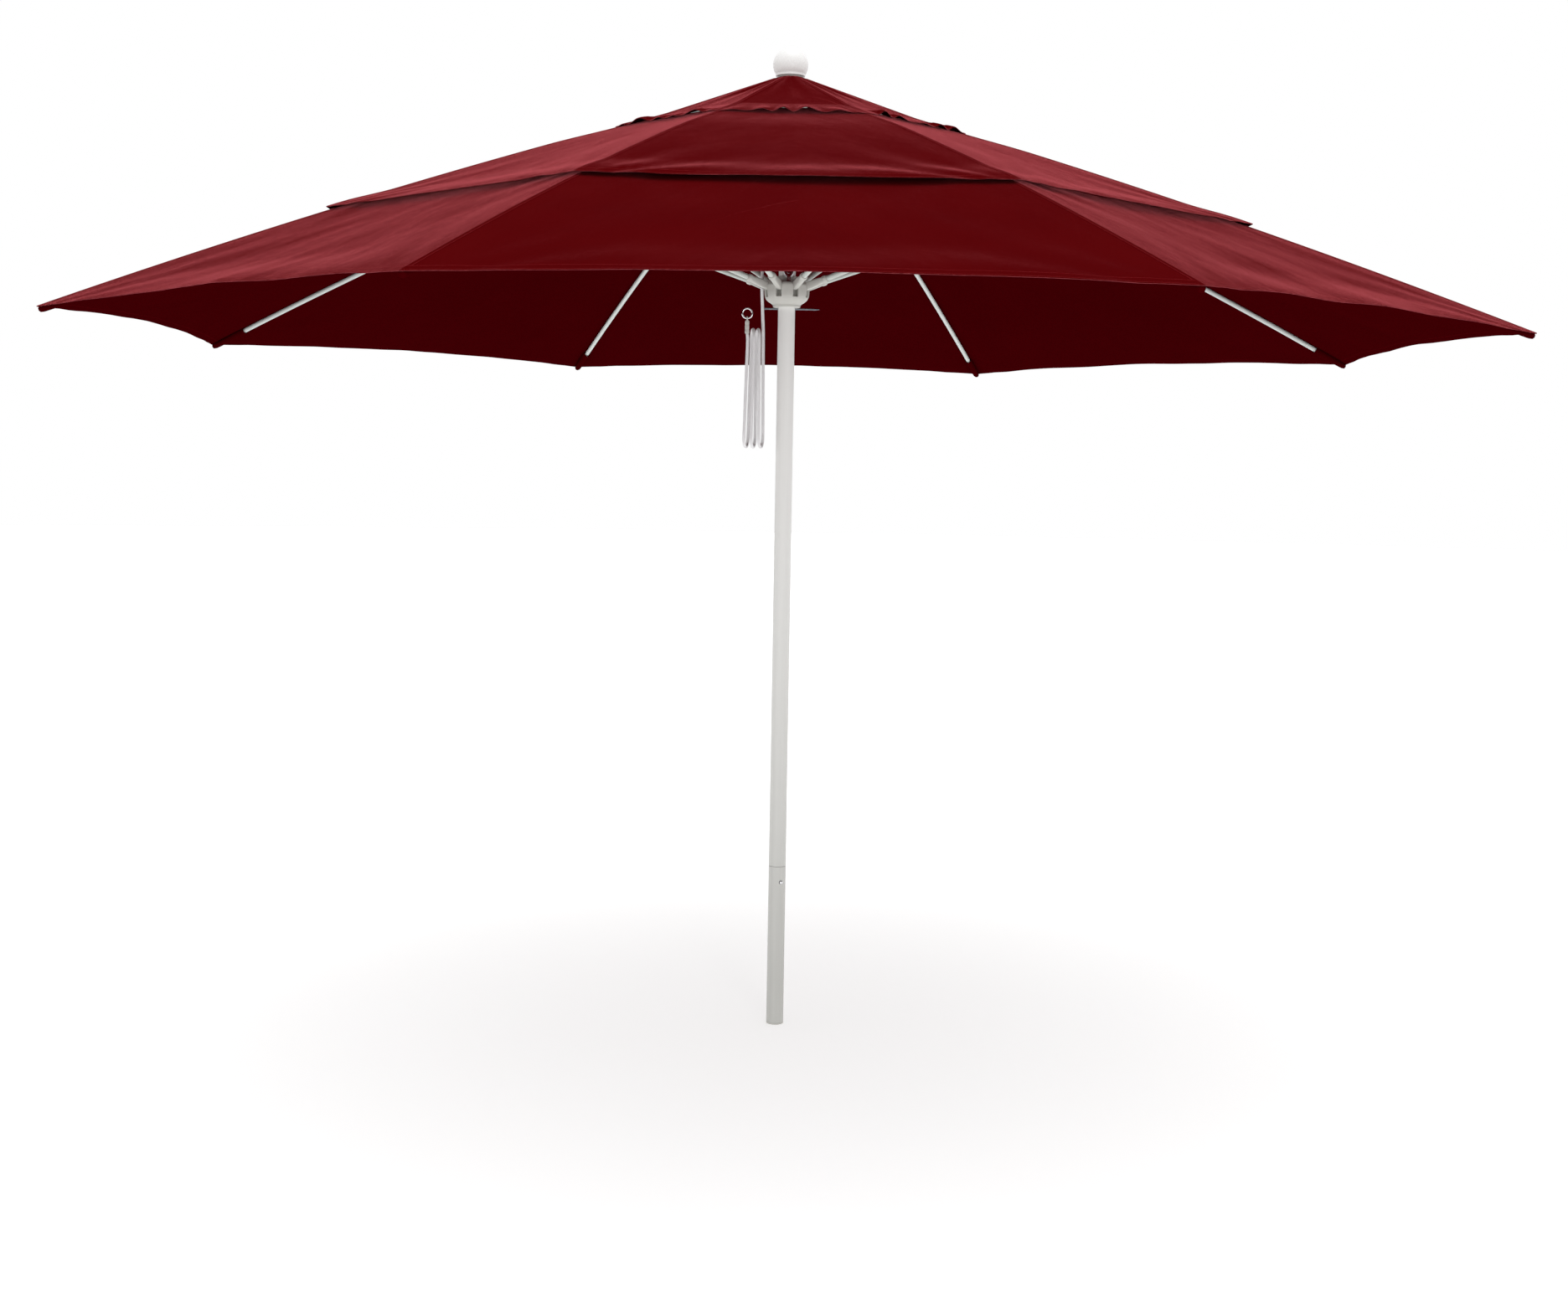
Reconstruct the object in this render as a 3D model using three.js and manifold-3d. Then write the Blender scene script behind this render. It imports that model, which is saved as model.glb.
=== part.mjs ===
// Octagonal market umbrella, open, with its two-piece pole, lifting rope and three-tier vented canopy.
// Millimetres, +Z up. The origin is the centre of the pole's bottom face, and the front is -Y.
import * as THREE from "three";
import { mergeVertices } from "three/addons/utils/BufferGeometryUtils.js";
import Module from "manifold-3d";

const wasm = await Module();
wasm.setup();

// ---- driving dimensions ----
const GAP = 0.3; // clearance between neighbouring pieces
const RIBS = 8;
const SECTOR = (2 * Math.PI) / RIBS;

const POLE_R = 19.05;
const POLE_WALL = 1.8;
const POLE_SEAM_Z = 353;
const POLE_TOP_Z = 2092;
const SLEEVE_LOW_Z = 233;
const SLEEVE_HIGH_Z = 473;
const SLEEVE_WALL = 1.5;
const BUTTON_Z = 318;
const BUTTON_AZIMUTH = THREE.MathUtils.degToRad(27);
const PIN_HOLE_R = 2.4;
const PIN_Z = 1602;
const STORED_PIN_Z = 399;

const HINGE_R = 44; // distance of both hinge rings from the pole's axis
const HINGE_WIRE_R = 2;
const EYE_HOLE_R = 2.4;
const CROWN_HINGE_Z = 2085;
const RUNNER_HINGE_Z = 1651;
const RUNNER_Z = 1606; // underside of the runner
const SLOT_WIDTH = 13;
const SLOT_R = 34; // inner wall of the slots in both hubs

const LINK = 650; // strut, hinge to hinge, and the same along the rib from its own hinge
const RIB_TIP_R = 1560;
const RIB_TIP_Z = 1530;
const RIB_BOW = 20;
const RIB_R = 5.75;
const STRUT_R = 6;
const SOCKET_WIDTH = 12.4;
const SOCKET_HEIGHT = 18;
const SOCKET_LENGTH = 55;

const TIP_R = 1570; // canopy corner
const MIDDLE_R = 1024; // corner of the middle tier
const CAP_R = 410; // corner of the top tier
const CLOTH = 1.2;
const SAG = 0.003; // how far the cloth hangs between two ribs, as a share of its distance from the pole
const SCALLOP = 0.021; // how far the hem curves in between two ribs, as the same share

const BALL_R = 39.5;
const BALL_Z = 2150;
const FINIAL_Z = 2124; // underside of the finial

const ROPE_R = 3.5;
const ROPE_DOWN = new THREE.Vector3(-56, 0, 0); // the side the hand pulls
const ROPE_UP = new THREE.Vector3(-6.5, -29, 0); // from the runner's sheave to the crown's
const ROPE_FIXED = new THREE.Vector3(12.5, -29, 0); // from the crown to the runner's sheave
const CROWN_SHEAVE_Z = 1985;
const RUNNER_SHEAVE = new THREE.Vector3(3, -29, 1683);
const FORK_HALF = 4.3; // the closed struts stand just beside the sheave's fork

// ---- materials ----
const look = (color, roughness, metalness) =>
  new THREE.MeshStandardMaterial({ color, roughness, metalness });
const canvasRed = look(0x5e0a0d, 0.85, 0);
const whitePaint = look(0xd6d6d2, 0.4, 0.1);
const whitePlastic = look(0xe0ded8, 0.45, 0);
const steel = look(0xb8bcc0, 0.3, 0.9);
const chrome = look(0xd8dadc, 0.12, 1);
const ropeWhite = look(0xd7d2d7, 0.9, 0);

const umbrella = new THREE.Group();

// ---- solids ----
function solid(geometry) {
  const bare = geometry.clone();
  for (const name of Object.keys(bare.attributes)) {
    if (name !== "position") bare.deleteAttribute(name);
  }
  const merged = mergeVertices(bare, 1e-3);
  const build = (triVerts) =>
    new wasm.Manifold(
      new wasm.Mesh({ numProp: 3, vertProperties: merged.attributes.position.array, triVerts }),
    );
  const made = build(new Uint32Array(merged.index.array));
  if (made.volume() > 0) return made;
  return build(new Uint32Array(merged.index.array).reverse());
}

function geometryOf(made) {
  const mesh = made.getMesh();
  const geometry = new THREE.BufferGeometry();
  geometry.setAttribute("position", new THREE.BufferAttribute(new Float32Array(mesh.vertProperties), 3));
  geometry.setIndex(new THREE.BufferAttribute(new Uint32Array(mesh.triVerts), 1));
  geometry.computeVertexNormals();
  return geometry;
}

function joined(...pieces) {
  return pieces.map(solid).reduce((sum, piece) => sum.add(piece));
}

function cut(body, ...cutters) {
  return cutters.map(solid).reduce((left, cutter) => left.subtract(cutter), body);
}

function place(name, made, material, parent = umbrella) {
  const mesh = new THREE.Mesh(made.isBufferGeometry ? made : geometryOf(made), material);
  mesh.name = name;
  parent.add(mesh);
  return mesh;
}

// ---- shapes ----
// A turned piece about Z, from its profile as pairs of radius and height.
function turned(profile, segments = 24) {
  const points = profile.map(([r, z]) => new THREE.Vector2(r, z));
  return new THREE.LatheGeometry(points, segments).rotateX(Math.PI / 2);
}

function ringTube(inner, outer, low, high, segments = 24) {
  return turned([[inner, low], [outer, low], [outer, high], [inner, high], [inner, low]], segments);
}

// A round bar between two points.
function bar(from, to, radius, segments = 12) {
  const along = to.clone().sub(from);
  const turn = new THREE.Quaternion().setFromUnitVectors(
    new THREE.Vector3(0, 1, 0),
    along.clone().normalize(),
  );
  const middle = from.clone().add(to).multiplyScalar(0.5);
  return new THREE.CylinderGeometry(radius, radius, along.length(), segments)
    .applyQuaternion(turn)
    .translate(middle.x, middle.y, middle.z);
}

function block(x, y, low, high) {
  return new THREE.BoxGeometry(x[1] - x[0], y[1] - y[0], high - low)
    .translate((x[0] + x[1]) / 2, (y[0] + y[1]) / 2, (low + high) / 2);
}

// A round tube along a curve.
function tube(curve, radius, steps, sides = 8) {
  const ring = [];
  for (let i = 0; i < sides; i++) {
    const angle = (2 * Math.PI * i) / sides;
    ring.push(new THREE.Vector2(radius * Math.cos(angle), radius * Math.sin(angle)));
  }
  return new THREE.ExtrudeGeometry(new THREE.Shape(ring), { steps, extrudePath: curve });
}

// A plate drawn in the XZ plane and centred on Y.
function plate(outline, width) {
  const shape = new THREE.Shape(outline.map(([x, z]) => new THREE.Vector2(x, z)));
  return new THREE.ExtrudeGeometry(shape, { depth: width, bevelEnabled: false })
    .rotateX(Math.PI / 2)
    .translate(0, width / 2, 0);
}

const across = (x, z, width, radius, segments = 12) =>
  bar(new THREE.Vector3(x, -width / 2, z), new THREE.Vector3(x, width / 2, z), radius, segments);

// ---- rib geometry, in the vertical plane of one rib: X outward, Z up ----
const crownHinge = new THREE.Vector3(HINGE_R, 0, CROWN_HINGE_Z);
const runnerHinge = new THREE.Vector3(HINGE_R, 0, RUNNER_HINGE_Z);
const ribTip = new THREE.Vector3(RIB_TIP_R, 0, RIB_TIP_Z);
const chord = ribTip.clone().sub(crownHinge);
const chordUp = new THREE.Vector3(-chord.z, 0, chord.x).normalize();
const halfDrop = (CROWN_HINGE_Z - RUNNER_HINGE_Z) / 2;
const bracketPin = new THREE.Vector3(
  HINGE_R + Math.sqrt(LINK ** 2 - halfDrop ** 2),
  0,
  CROWN_HINGE_Z - halfDrop,
);

function ribPoint(share) {
  const bow = 4 * RIB_BOW * share * (1 - share);
  return crownHinge.clone().addScaledVector(chord, share).addScaledVector(chordUp, bow);
}

function ribHeight(radius) {
  const share = (radius - HINGE_R) / chord.x;
  return crownHinge.z + chord.z * share + (4 * RIB_BOW * share * (1 - share)) / chordUp.z;
}

class RibCurve extends THREE.Curve {
  constructor(start, end) {
    super();
    this.start = start;
    this.end = end;
  }

  getPoint(t, target = new THREE.Vector3()) {
    return target.copy(ribPoint(this.start + (this.end - this.start) * t));
  }
}

const azimuthOf = (index) => THREE.MathUtils.degToRad(-157.5 + 45 * index);
const turnOf = (index) => azimuthOf(index) - Math.PI / 2;

// The eight hinge pins of a hub are the straight sides of one closed wire.
function hingeWire(height, radius, sides) {
  const pieces = [];
  const reach = HINGE_R / Math.cos(SECTOR / 2);
  const corner = (index) =>
    new THREE.Vector3(Math.cos(index * SECTOR), Math.sin(index * SECTOR), 0)
      .multiplyScalar(reach)
      .setZ(height);
  for (let i = 0; i < RIBS; i++) {
    pieces.push(bar(corner(i), corner(i + 1), radius, sides));
  }
  return joined(...pieces);
}

function slots(low, high) {
  const cutters = [];
  for (let i = 0; i < RIBS; i++) {
    const cutter = block([SLOT_R, 70], [-SLOT_WIDTH / 2, SLOT_WIDTH / 2], low, high);
    cutters.push(cutter.rotateZ(turnOf(i)));
  }
  return cutters;
}

const pinHole = (z) =>
  bar(new THREE.Vector3(-30, 0, z), new THREE.Vector3(30, 0, z), PIN_HOLE_R, 12);

// ---- pole ----
const inner = POLE_R - POLE_WALL;
const sleeveR = inner - GAP;
const buttonWay = new THREE.Vector3(Math.sin(BUTTON_AZIMUTH), -Math.cos(BUTTON_AZIMUTH), 0);
const buttonPoint = (radius) => buttonWay.clone().multiplyScalar(radius).setZ(BUTTON_Z);
const buttonHole = bar(buttonPoint(8), buttonPoint(30), 4.5, 16);

const plug = turned([[0, 0], [POLE_R, 0], [POLE_R, 3], [sleeveR, 3], [sleeveR, 30], [0, 30]]);
place("pole_foot_plug", plug, whitePlastic);

const lowerTube = solid(ringTube(inner, POLE_R, 3 + GAP, POLE_SEAM_Z - GAP));
place("pole_lower", cut(lowerTube, buttonHole), whitePaint);

const upperTube = solid(ringTube(inner, POLE_R, POLE_SEAM_Z, POLE_TOP_Z));
place("pole_upper", cut(upperTube, pinHole(PIN_Z), pinHole(STORED_PIN_Z)), whitePaint);

const sleeve = solid(ringTube(sleeveR - SLEEVE_WALL, sleeveR, SLEEVE_LOW_Z, SLEEVE_HIGH_Z));
place("pole_joint_sleeve", cut(sleeve, pinHole(STORED_PIN_Z), buttonHole), steel);

// The button and the leaf that it is riveted to, inside the sleeve.
const leaf = block([-4, 4], [-0.5, 0.5], BUTTON_Z - 30, BUTTON_Z + 30)
  .rotateZ(BUTTON_AZIMUTH)
  .translate(buttonWay.x * 13.2, buttonWay.y * 13.2, 0);
const button = bar(buttonPoint(13), buttonPoint(20.6), 4, 16);
const buttonTop = new THREE.SphereGeometry(4, 16, 8)
  .translate(buttonWay.x * 19.4, buttonWay.y * 19.4, BUTTON_Z);
place("snap_button", joined(button, buttonTop, leaf), chrome);

const LOCK_PIN_FROM = -48;
const LOCK_PIN_TO = 62;
const lockPinEnd = (x) => new THREE.Vector3(x, 0, PIN_Z);
const lockPin = bar(lockPinEnd(LOCK_PIN_FROM), lockPinEnd(LOCK_PIN_TO), 1.9, 12);
const lockPinTip = new THREE.SphereGeometry(1.9, 12, 6).scale(6.5, 1, 1).translate(LOCK_PIN_TO, 0, PIN_Z);
const lockPinHead = new THREE.SphereGeometry(2.4, 12, 6).translate(LOCK_PIN_FROM, 0, PIN_Z);
place("lock_pin", joined(lockPin, lockPinTip, lockPinHead), chrome);

// ---- crown ----
const upRun = ROPE_UP;
const ropeSide = ROPE_DOWN.clone().sub(upRun);
const sheaveWay = ropeSide.clone().normalize();
const sheaveAxis = new THREE.Vector3(sheaveWay.y, -sheaveWay.x, 0);
const sheaveCentre = upRun.clone().add(ROPE_DOWN).multiplyScalar(0.5).setZ(CROWN_SHEAVE_Z);
const sheaveTurn = Math.atan2(sheaveAxis.y, sheaveAxis.x);
const sheaveOffset = sheaveCentre.clone().setZ(0).dot(sheaveAxis);
const crownRopeR = ropeSide.length() / 2;
const outward = Math.sign(sheaveOffset);

const crownBody = solid(
  turned([
    [0, POLE_TOP_Z + GAP],
    [POLE_R + GAP, POLE_TOP_Z + GAP],
    [POLE_R + GAP, 2030],
    [24, 2030],
    [24, 2062],
    [46, 2068],
    [50, 2072],
    [50, 2101],
    [46, 2105],
    [20, 2107],
    [0, 2107],
  ]),
);
const plateOffset = outward * 22.3;
const hangerPlate = block([-1.1, 1.1], [-15, 15], 1968, 2069)
  .translate(plateOffset, 0, 0)
  .rotateZ(sheaveTurn);
const shift = sheaveCentre.clone().setZ(0).addScaledVector(sheaveAxis, -sheaveOffset);
hangerPlate.translate(shift.x, shift.y, 0);
const poleSpace = turned([[0, 1960], [POLE_R + GAP, 1960], [POLE_R + GAP, 2050], [0, 2050]]);
const axleFrom = sheaveCentre.clone().addScaledVector(sheaveAxis, outward * 7.5);
const axleTo = sheaveCentre.clone().addScaledVector(sheaveAxis, plateOffset - sheaveOffset);
const axleHole = bar(
  axleTo.clone().addScaledVector(sheaveAxis, -outward * 5),
  axleTo.clone().addScaledVector(sheaveAxis, outward * 5),
  3.4,
  16,
);
const studHole = turned([[0, 2094], [4.4, 2094], [4.4, 2120], [0, 2120]], 16);
const wireWay = hingeWire(CROWN_HINGE_Z, HINGE_WIRE_R + 0.35, 6);
const crown = cut(
  crownBody.add(solid(hangerPlate)),
  ...slots(2050, 2120),
  poleSpace,
  axleHole,
  studHole,
).subtract(wireWay);
place("crown_hub", crown, whitePlastic);
place("crown_hinge_wire", hingeWire(CROWN_HINGE_Z, HINGE_WIRE_R, 6), steel);

// ---- sheaves ----
function sheave(ropeR, halfWidth, holeR) {
  const rim = ropeR + 1;
  const groove = [];
  for (let i = 0; i <= 4; i++) {
    const angle = (Math.PI * (i - 2)) / 4.6;
    groove.push([ropeR - (ROPE_R + 0.6) * Math.cos(angle), (ROPE_R + 0.6) * Math.sin(angle)]);
  }
  return turned([
    [holeR, -halfWidth],
    [rim, -halfWidth],
    ...groove,
    [rim, halfWidth],
    [holeR, halfWidth],
    [holeR, -halfWidth],
  ], 24);
}

const crownSheave = sheave(crownRopeR, 4.6, 3.4)
  .rotateY(Math.PI / 2)
  .rotateZ(sheaveTurn)
  .translate(sheaveCentre.x, sheaveCentre.y, sheaveCentre.z);
place("crown_sheave", crownSheave, whitePlastic);
const axleHead = axleFrom.clone().addScaledVector(sheaveAxis, -outward * 2.4);
const plateFace = sheaveCentre.clone().addScaledVector(sheaveAxis, plateOffset - sheaveOffset);
place("crown_sheave_axle", joined(
  bar(axleFrom, plateFace, 3, 16),
  bar(axleFrom, axleHead, 5, 16),
), chrome);

const runnerSheave = sheave(9.5, 4.6, 2.4)
  .rotateX(Math.PI / 2)
  .translate(RUNNER_SHEAVE.x, RUNNER_SHEAVE.y, RUNNER_SHEAVE.z);
place("runner_sheave", runnerSheave, chrome);

// ---- finial ----
const finial = [[4.4, FINIAL_Z], [32.5, FINIAL_Z], [33, 2125], [33.6, 2129], [35.4, 2132.5]];
for (let angle = -24; angle < 90; angle += 12) {
  const radians = THREE.MathUtils.degToRad(angle);
  finial.push([BALL_R * Math.cos(radians), BALL_Z + BALL_R * Math.sin(radians)]);
}
finial.push([0, BALL_Z + BALL_R], [0, 2146], [4.4, 2146], [4.4, FINIAL_Z]);
place("finial_ball", turned(finial, 24), whitePlastic);
place("finial_stud", turned([[0, 2095], [4, 2095], [4, 2144], [0, 2144]], 16), steel);
const washer = turned([[4.6, 2121.6], [27, 2121.6], [27, 2123.6], [4.6, 2123.6], [4.6, 2121.6]], 20);
place("canopy_washer", washer, whitePlastic);

// ---- runner ----
const bore = POLE_R + 0.6;
const runnerBody = solid(
  turned([
    [bore, RUNNER_Z],
    [29, RUNNER_Z],
    [30, RUNNER_Z + 1],
    [30, RUNNER_Z + 8],
    [49, RUNNER_Z + 17],
    [50.5, RUNNER_Z + 20],
    [50.5, 1655],
    [47, 1660],
    [26, 1662],
    [24, 1664],
    [24, 1675],
    [bore, 1675],
    [bore, RUNNER_Z],
  ]),
);
const bracketSeat = block([-9, 15], [-45, -19.9], 1662.4, 1690);
const runner = cut(runnerBody, ...slots(1600, 1680), bracketSeat)
  .subtract(hingeWire(RUNNER_HINGE_Z, HINGE_WIRE_R + 0.35, 6));
place("runner_hub", runner, whitePlastic);
place("runner_hinge_wire", hingeWire(RUNNER_HINGE_Z, HINGE_WIRE_R, 6), steel);

// The sheave's fork stands on the front of the runner.
const { x: forkX, y: forkY, z: forkZ } = RUNNER_SHEAVE;
const forkSpan = [forkX - FORK_HALF, forkX + FORK_HALF];
const forkBase = block(forkSpan, [forkY - 7.3, forkY + 7.3], 1662.8, 1665.4);
const forkCheeks = [-1, 1].map((side) =>
  block(forkSpan, [forkY - 1.1, forkY + 1.1], 1662.8, forkZ + 6)
    .translate(0, side * 6.2, 0),
);
const forkHole = bar(
  new THREE.Vector3(forkX, forkY - 12, forkZ),
  new THREE.Vector3(forkX, forkY + 12, forkZ),
  2.35,
  12,
);
place("runner_sheave_fork", cut(joined(forkBase, ...forkCheeks), forkHole), chrome);
place("runner_sheave_axle", joined(
  bar(new THREE.Vector3(forkX, forkY - 8, forkZ), new THREE.Vector3(forkX, forkY + 7.2, forkZ), 2, 12),
  bar(new THREE.Vector3(forkX, forkY - 9.5, forkZ), new THREE.Vector3(forkX, forkY - 7.7, forkZ), 3.6, 12),
), chrome);

// ---- lifting rope: crown, round the runner's sheave, over the crown's sheave and down ----
const RUN_END_Z = 1650;

const arcPoints = (centre, from, to, radius, way) => {
  const points = [];
  for (let i = 0; i <= 8; i++) {
    const angle = from + ((to - from) * i) / 8;
    const point = centre.clone().addScaledVector(way, radius * Math.cos(angle));
    points.push(point.setZ(centre.z + radius * Math.sin(angle)));
  }
  return points;
};
const runPoints = [
  ROPE_FIXED.clone().setZ(2061.5),
  ...arcPoints(RUNNER_SHEAVE, 0, -Math.PI, 9.5, new THREE.Vector3(1, 0, 0)),
  ...arcPoints(sheaveCentre, Math.PI, 0, crownRopeR, sheaveWay),
  ROPE_DOWN.clone().setZ(RUN_END_Z),
];

// A rope's centreline: its own points, joined by straight pieces.
class RopeLine extends THREE.Curve {
  constructor(points) {
    super();
    this.points = points;
  }

  getPoint(t, target = new THREE.Vector3()) {
    const place = t * (this.points.length - 1);
    const index = Math.min(Math.floor(place + 1e-6), this.points.length - 2);
    return target.lerpVectors(this.points[index], this.points[index + 1], place - index);
  }

  getPointAt(u, target) {
    return this.getPoint(u, target);
  }

  getTangentAt(u, target = new THREE.Vector3()) {
    const last = this.points.length - 1;
    const index = Math.round(u * last);
    const here = this.points[index];
    const before = here.clone().sub(this.points[Math.max(index - 1, 0)]).normalize();
    const after = this.points[Math.min(index + 1, last)].clone().sub(here).normalize();
    return target.addVectors(before, after).normalize();
  }
}

const rope = (points) => tube(new RopeLine(points), ROPE_R, points.length - 1, 6);
place("lift_rope_run", rope(runPoints), ropeWhite);

// The free end: behind the lock pin, then a hank of three long turns, and up to the end ring.
// Each strand is given where it passes the hank's top and bottom; they hang alternately behind and in front.
const HANK_DEPTH = 21;
const HANK_LOW_Z = 1312;
const HANK_HIGH_Z = 1534;
const strandTops = [-51, -60, -66.5, -72, -78, -86];
const strandFeet = [-48.5, -58, -66, -75, -82, -91];
const strandPoint = (index, low) => {
  const behind = index % 2 === 0;
  const x = low ? strandFeet[index] : strandTops[index];
  return new THREE.Vector3(x, behind ? HANK_DEPTH : -HANK_DEPTH, low ? HANK_LOW_Z : HANK_HIGH_Z);
};
const fold = (from, to, low) => {
  const half = to.clone().sub(from).multiplyScalar(0.5);
  const centre = from.clone().add(half);
  const way = half.clone().negate().normalize();
  return arcPoints(centre, 0, low ? -Math.PI : Math.PI, half.length(), way);
};
const tailPoints = [
  [-56, 0, RUN_END_Z - GAP],
  [-55.8, 0.6, 1640],
  [-55.2, 3.2, 1625],
  [-54.3, 7.4, 1606],
  [-53.2, 12, 1584],
  [-52.1, 17, 1562],
  [-51.3, 20.2, 1544],
].map((point) => new THREE.Vector3(...point));
for (let i = 0; i < 5; i++) {
  const low = i % 2 === 0;
  tailPoints.push(...fold(strandPoint(i, low), strandPoint(i + 1, low), low));
}
tailPoints.push(
  strandPoint(5, false),
  new THREE.Vector3(-87.5, -HANK_DEPTH, 1544),
);
place("rope_tail", rope(tailPoints), ropeWhite);

const END_X = -88;
const ferrule = bar(
  new THREE.Vector3(END_X, -HANK_DEPTH, 1544.8),
  new THREE.Vector3(END_X, -HANK_DEPTH, 1573),
  4.9,
  16,
);
const ferruleEye = new THREE.TorusGeometry(4.5, 1.4, 6, 12)
  .rotateY(Math.PI / 2)
  .translate(END_X, -HANK_DEPTH, 1577.5);
place("rope_ferrule", joined(ferrule, ferruleEye), whitePlastic);
const endRing = new THREE.TorusGeometry(11, 1.8, 6, 18)
  .rotateX(Math.PI / 2)
  .translate(END_X, -HANK_DEPTH, 1589.2);
place("rope_end_ring", solid(endRing), chrome);

// ---- ribs, struts and canopy, once each in the plane of a rib and then set round the pole ----
const eye = (at, radius, width) => across(at.x, at.z, width, radius, 8);
const ribBar = tube(new RibCurve(0.002, 1), RIB_R, 6, 8);
const rib = cut(joined(ribBar, eye(crownHinge, 7, 10.6)), eye(crownHinge, EYE_HOLE_R, 30));

const strutWay = bracketPin.clone().sub(runnerHinge).normalize();
const strutUp = new THREE.Vector3(-strutWay.z, 0, strutWay.x);
const onStrut = (along, up) => {
  const point = runnerHinge.clone().addScaledVector(strutWay, along).addScaledVector(strutUp, up);
  return [point.x, point.z];
};
const halfSocket = SOCKET_HEIGHT / 2;
const socket = plate(
  [
    onStrut(0, -halfSocket),
    onStrut(SOCKET_LENGTH - 6, -halfSocket + 0.8),
    onStrut(SOCKET_LENGTH, -STRUT_R - 0.8),
    onStrut(SOCKET_LENGTH, STRUT_R + 0.8),
    onStrut(SOCKET_LENGTH - 6, halfSocket - 0.8),
    onStrut(0, halfSocket),
  ],
  SOCKET_WIDTH,
);
const strutStart = runnerHinge.clone().addScaledVector(strutWay, 20);
const strutEnd = runnerHinge.clone().addScaledVector(strutWay, LINK - 18);
const tongueOutline = [
  [LINK - 34, -5],
  [LINK, -5.5],
  [LINK, 5.5],
  [LINK - 34, 5],
].map(([along, up]) => onStrut(along, up));
const tongue = plate(tongueOutline, 5.8);
const strut = cut(
  joined(
    socket,
    eye(runnerHinge, halfSocket, SOCKET_WIDTH),
    bar(strutStart, strutEnd, STRUT_R, 8),
    tongue,
    eye(bracketPin, 6, 5.8),
  ),
  eye(runnerHinge, EYE_HOLE_R, 30),
  eye(bracketPin, EYE_HOLE_R, 30),
);

// The clip that carries the strut under the rib: a saddle, two cheeks and the pin between them.
const clipShare = (bracketPin.clone().sub(crownHinge).dot(chord.clone().normalize())) / chord.length();
const clipHalf = 14 / chord.length();
const saddle = tube(new RibCurve(clipShare - clipHalf, clipShare + clipHalf), 8.6, 1, 8);
const saddleBore = tube(new RibCurve(clipShare - 2 * clipHalf, clipShare + 2 * clipHalf), 6.4, 1, 8);
const cheekWay = chord.clone().normalize();
const onCheek = (along, up) => {
  const point = bracketPin.clone().addScaledVector(cheekWay, along).addScaledVector(chordUp, up);
  return [point.x, point.z];
};
const cheekOutline = [
  [-6, -6],
  [6, -6],
  [9, 0],
  [9, 9],
  [-9, 9],
  [-9, 0],
].map(([along, up]) => onCheek(along, up));
const cheeks = [-1, 1].map((side) => plate(cheekOutline, 2).translate(0, 4.4 * side, 0));
const clipMouth = plate([onCheek(-30, -20), onCheek(30, -20), onCheek(30, 8), onCheek(-30, 8)], 6.6);
const cheekPin = solid(across(bracketPin.x, bracketPin.z, 9, 2, 8));
const bracket = cut(joined(saddle, ...cheeks), saddleBore, clipMouth).add(cheekPin);

// A tier of one sector: cloth from the middle of one gore, over the rib, to the middle of the next.
function tier(innerR, outerR, scallop, clothHeight, rows) {
  const columns = 4;
  const points = [];
  const half = SECTOR / 2;
  for (const side of [0, 1]) {
    for (let row = 0; row <= rows; row++) {
      for (let column = 0; column <= columns; column++) {
        const across = (2 * column) / columns - 1;
        const bend = 1 - (1 - Math.abs(across)) ** 2;
        const edge = outerR * (1 - scallop * bend);
        const reach = THREE.MathUtils.lerp(innerR, edge, row / rows);
        const share = Math.abs(across) * (1 - 0.2 / (reach * Math.sin(half)));
        const x = reach * (1 - share * Math.sin(half) ** 2);
        const y = Math.sign(across) * share * reach * Math.sin(half) * Math.cos(half);
        points.push(x, y, clothHeight(reach) - SAG * reach * bend + side * CLOTH);
      }
    }
  }
  const layer = (rows + 1) * (columns + 1);
  const at = (side, row, column) => side * layer + row * (columns + 1) + column;
  const faces = [];
  const quad = (a, b, c, d) => faces.push(a, b, c, a, c, d);
  for (let row = 0; row < rows; row++) {
    for (let column = 0; column < columns; column++) {
      quad(at(1, row, column), at(1, row + 1, column), at(1, row + 1, column + 1), at(1, row, column + 1));
      quad(at(0, row, column), at(0, row, column + 1), at(0, row + 1, column + 1), at(0, row + 1, column));
    }
    quad(at(0, row, 0), at(0, row + 1, 0), at(1, row + 1, 0), at(1, row, 0));
    quad(at(0, row + 1, columns), at(0, row, columns), at(1, row, columns), at(1, row + 1, columns));
  }
  for (let column = 0; column < columns; column++) {
    quad(at(0, 0, column + 1), at(0, 0, column), at(1, 0, column), at(1, 0, column + 1));
    quad(at(0, rows, column), at(0, rows, column + 1), at(1, rows, column + 1), at(1, rows, column));
  }
  const geometry = new THREE.BufferGeometry();
  geometry.setAttribute("position", new THREE.Float32BufferAttribute(points, 3));
  geometry.setIndex(faces);
  return geometry;
}

const ON_RIB = 6.8; // underside of the cloth above the rib's axis
const lowerCloth = (reach) => ribHeight(reach) + ON_RIB;
const middleCloth = (reach) =>
  ribHeight(reach) +
  ON_RIB +
  3 * THREE.MathUtils.smoothstep(reach, 400, 560) +
  6 * THREE.MathUtils.smoothstep(reach, 880, 1000);
const CAP_INNER_R = 27;
const CAP_INNER_Z = 2120.2;
function capCloth(reach) {
  if (reach >= 300) return ribHeight(reach) + 9;
  const share = (reach - CAP_INNER_R) / (300 - CAP_INNER_R);
  return THREE.MathUtils.lerp(CAP_INNER_Z, ribHeight(300) + 9, share);
}

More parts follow.
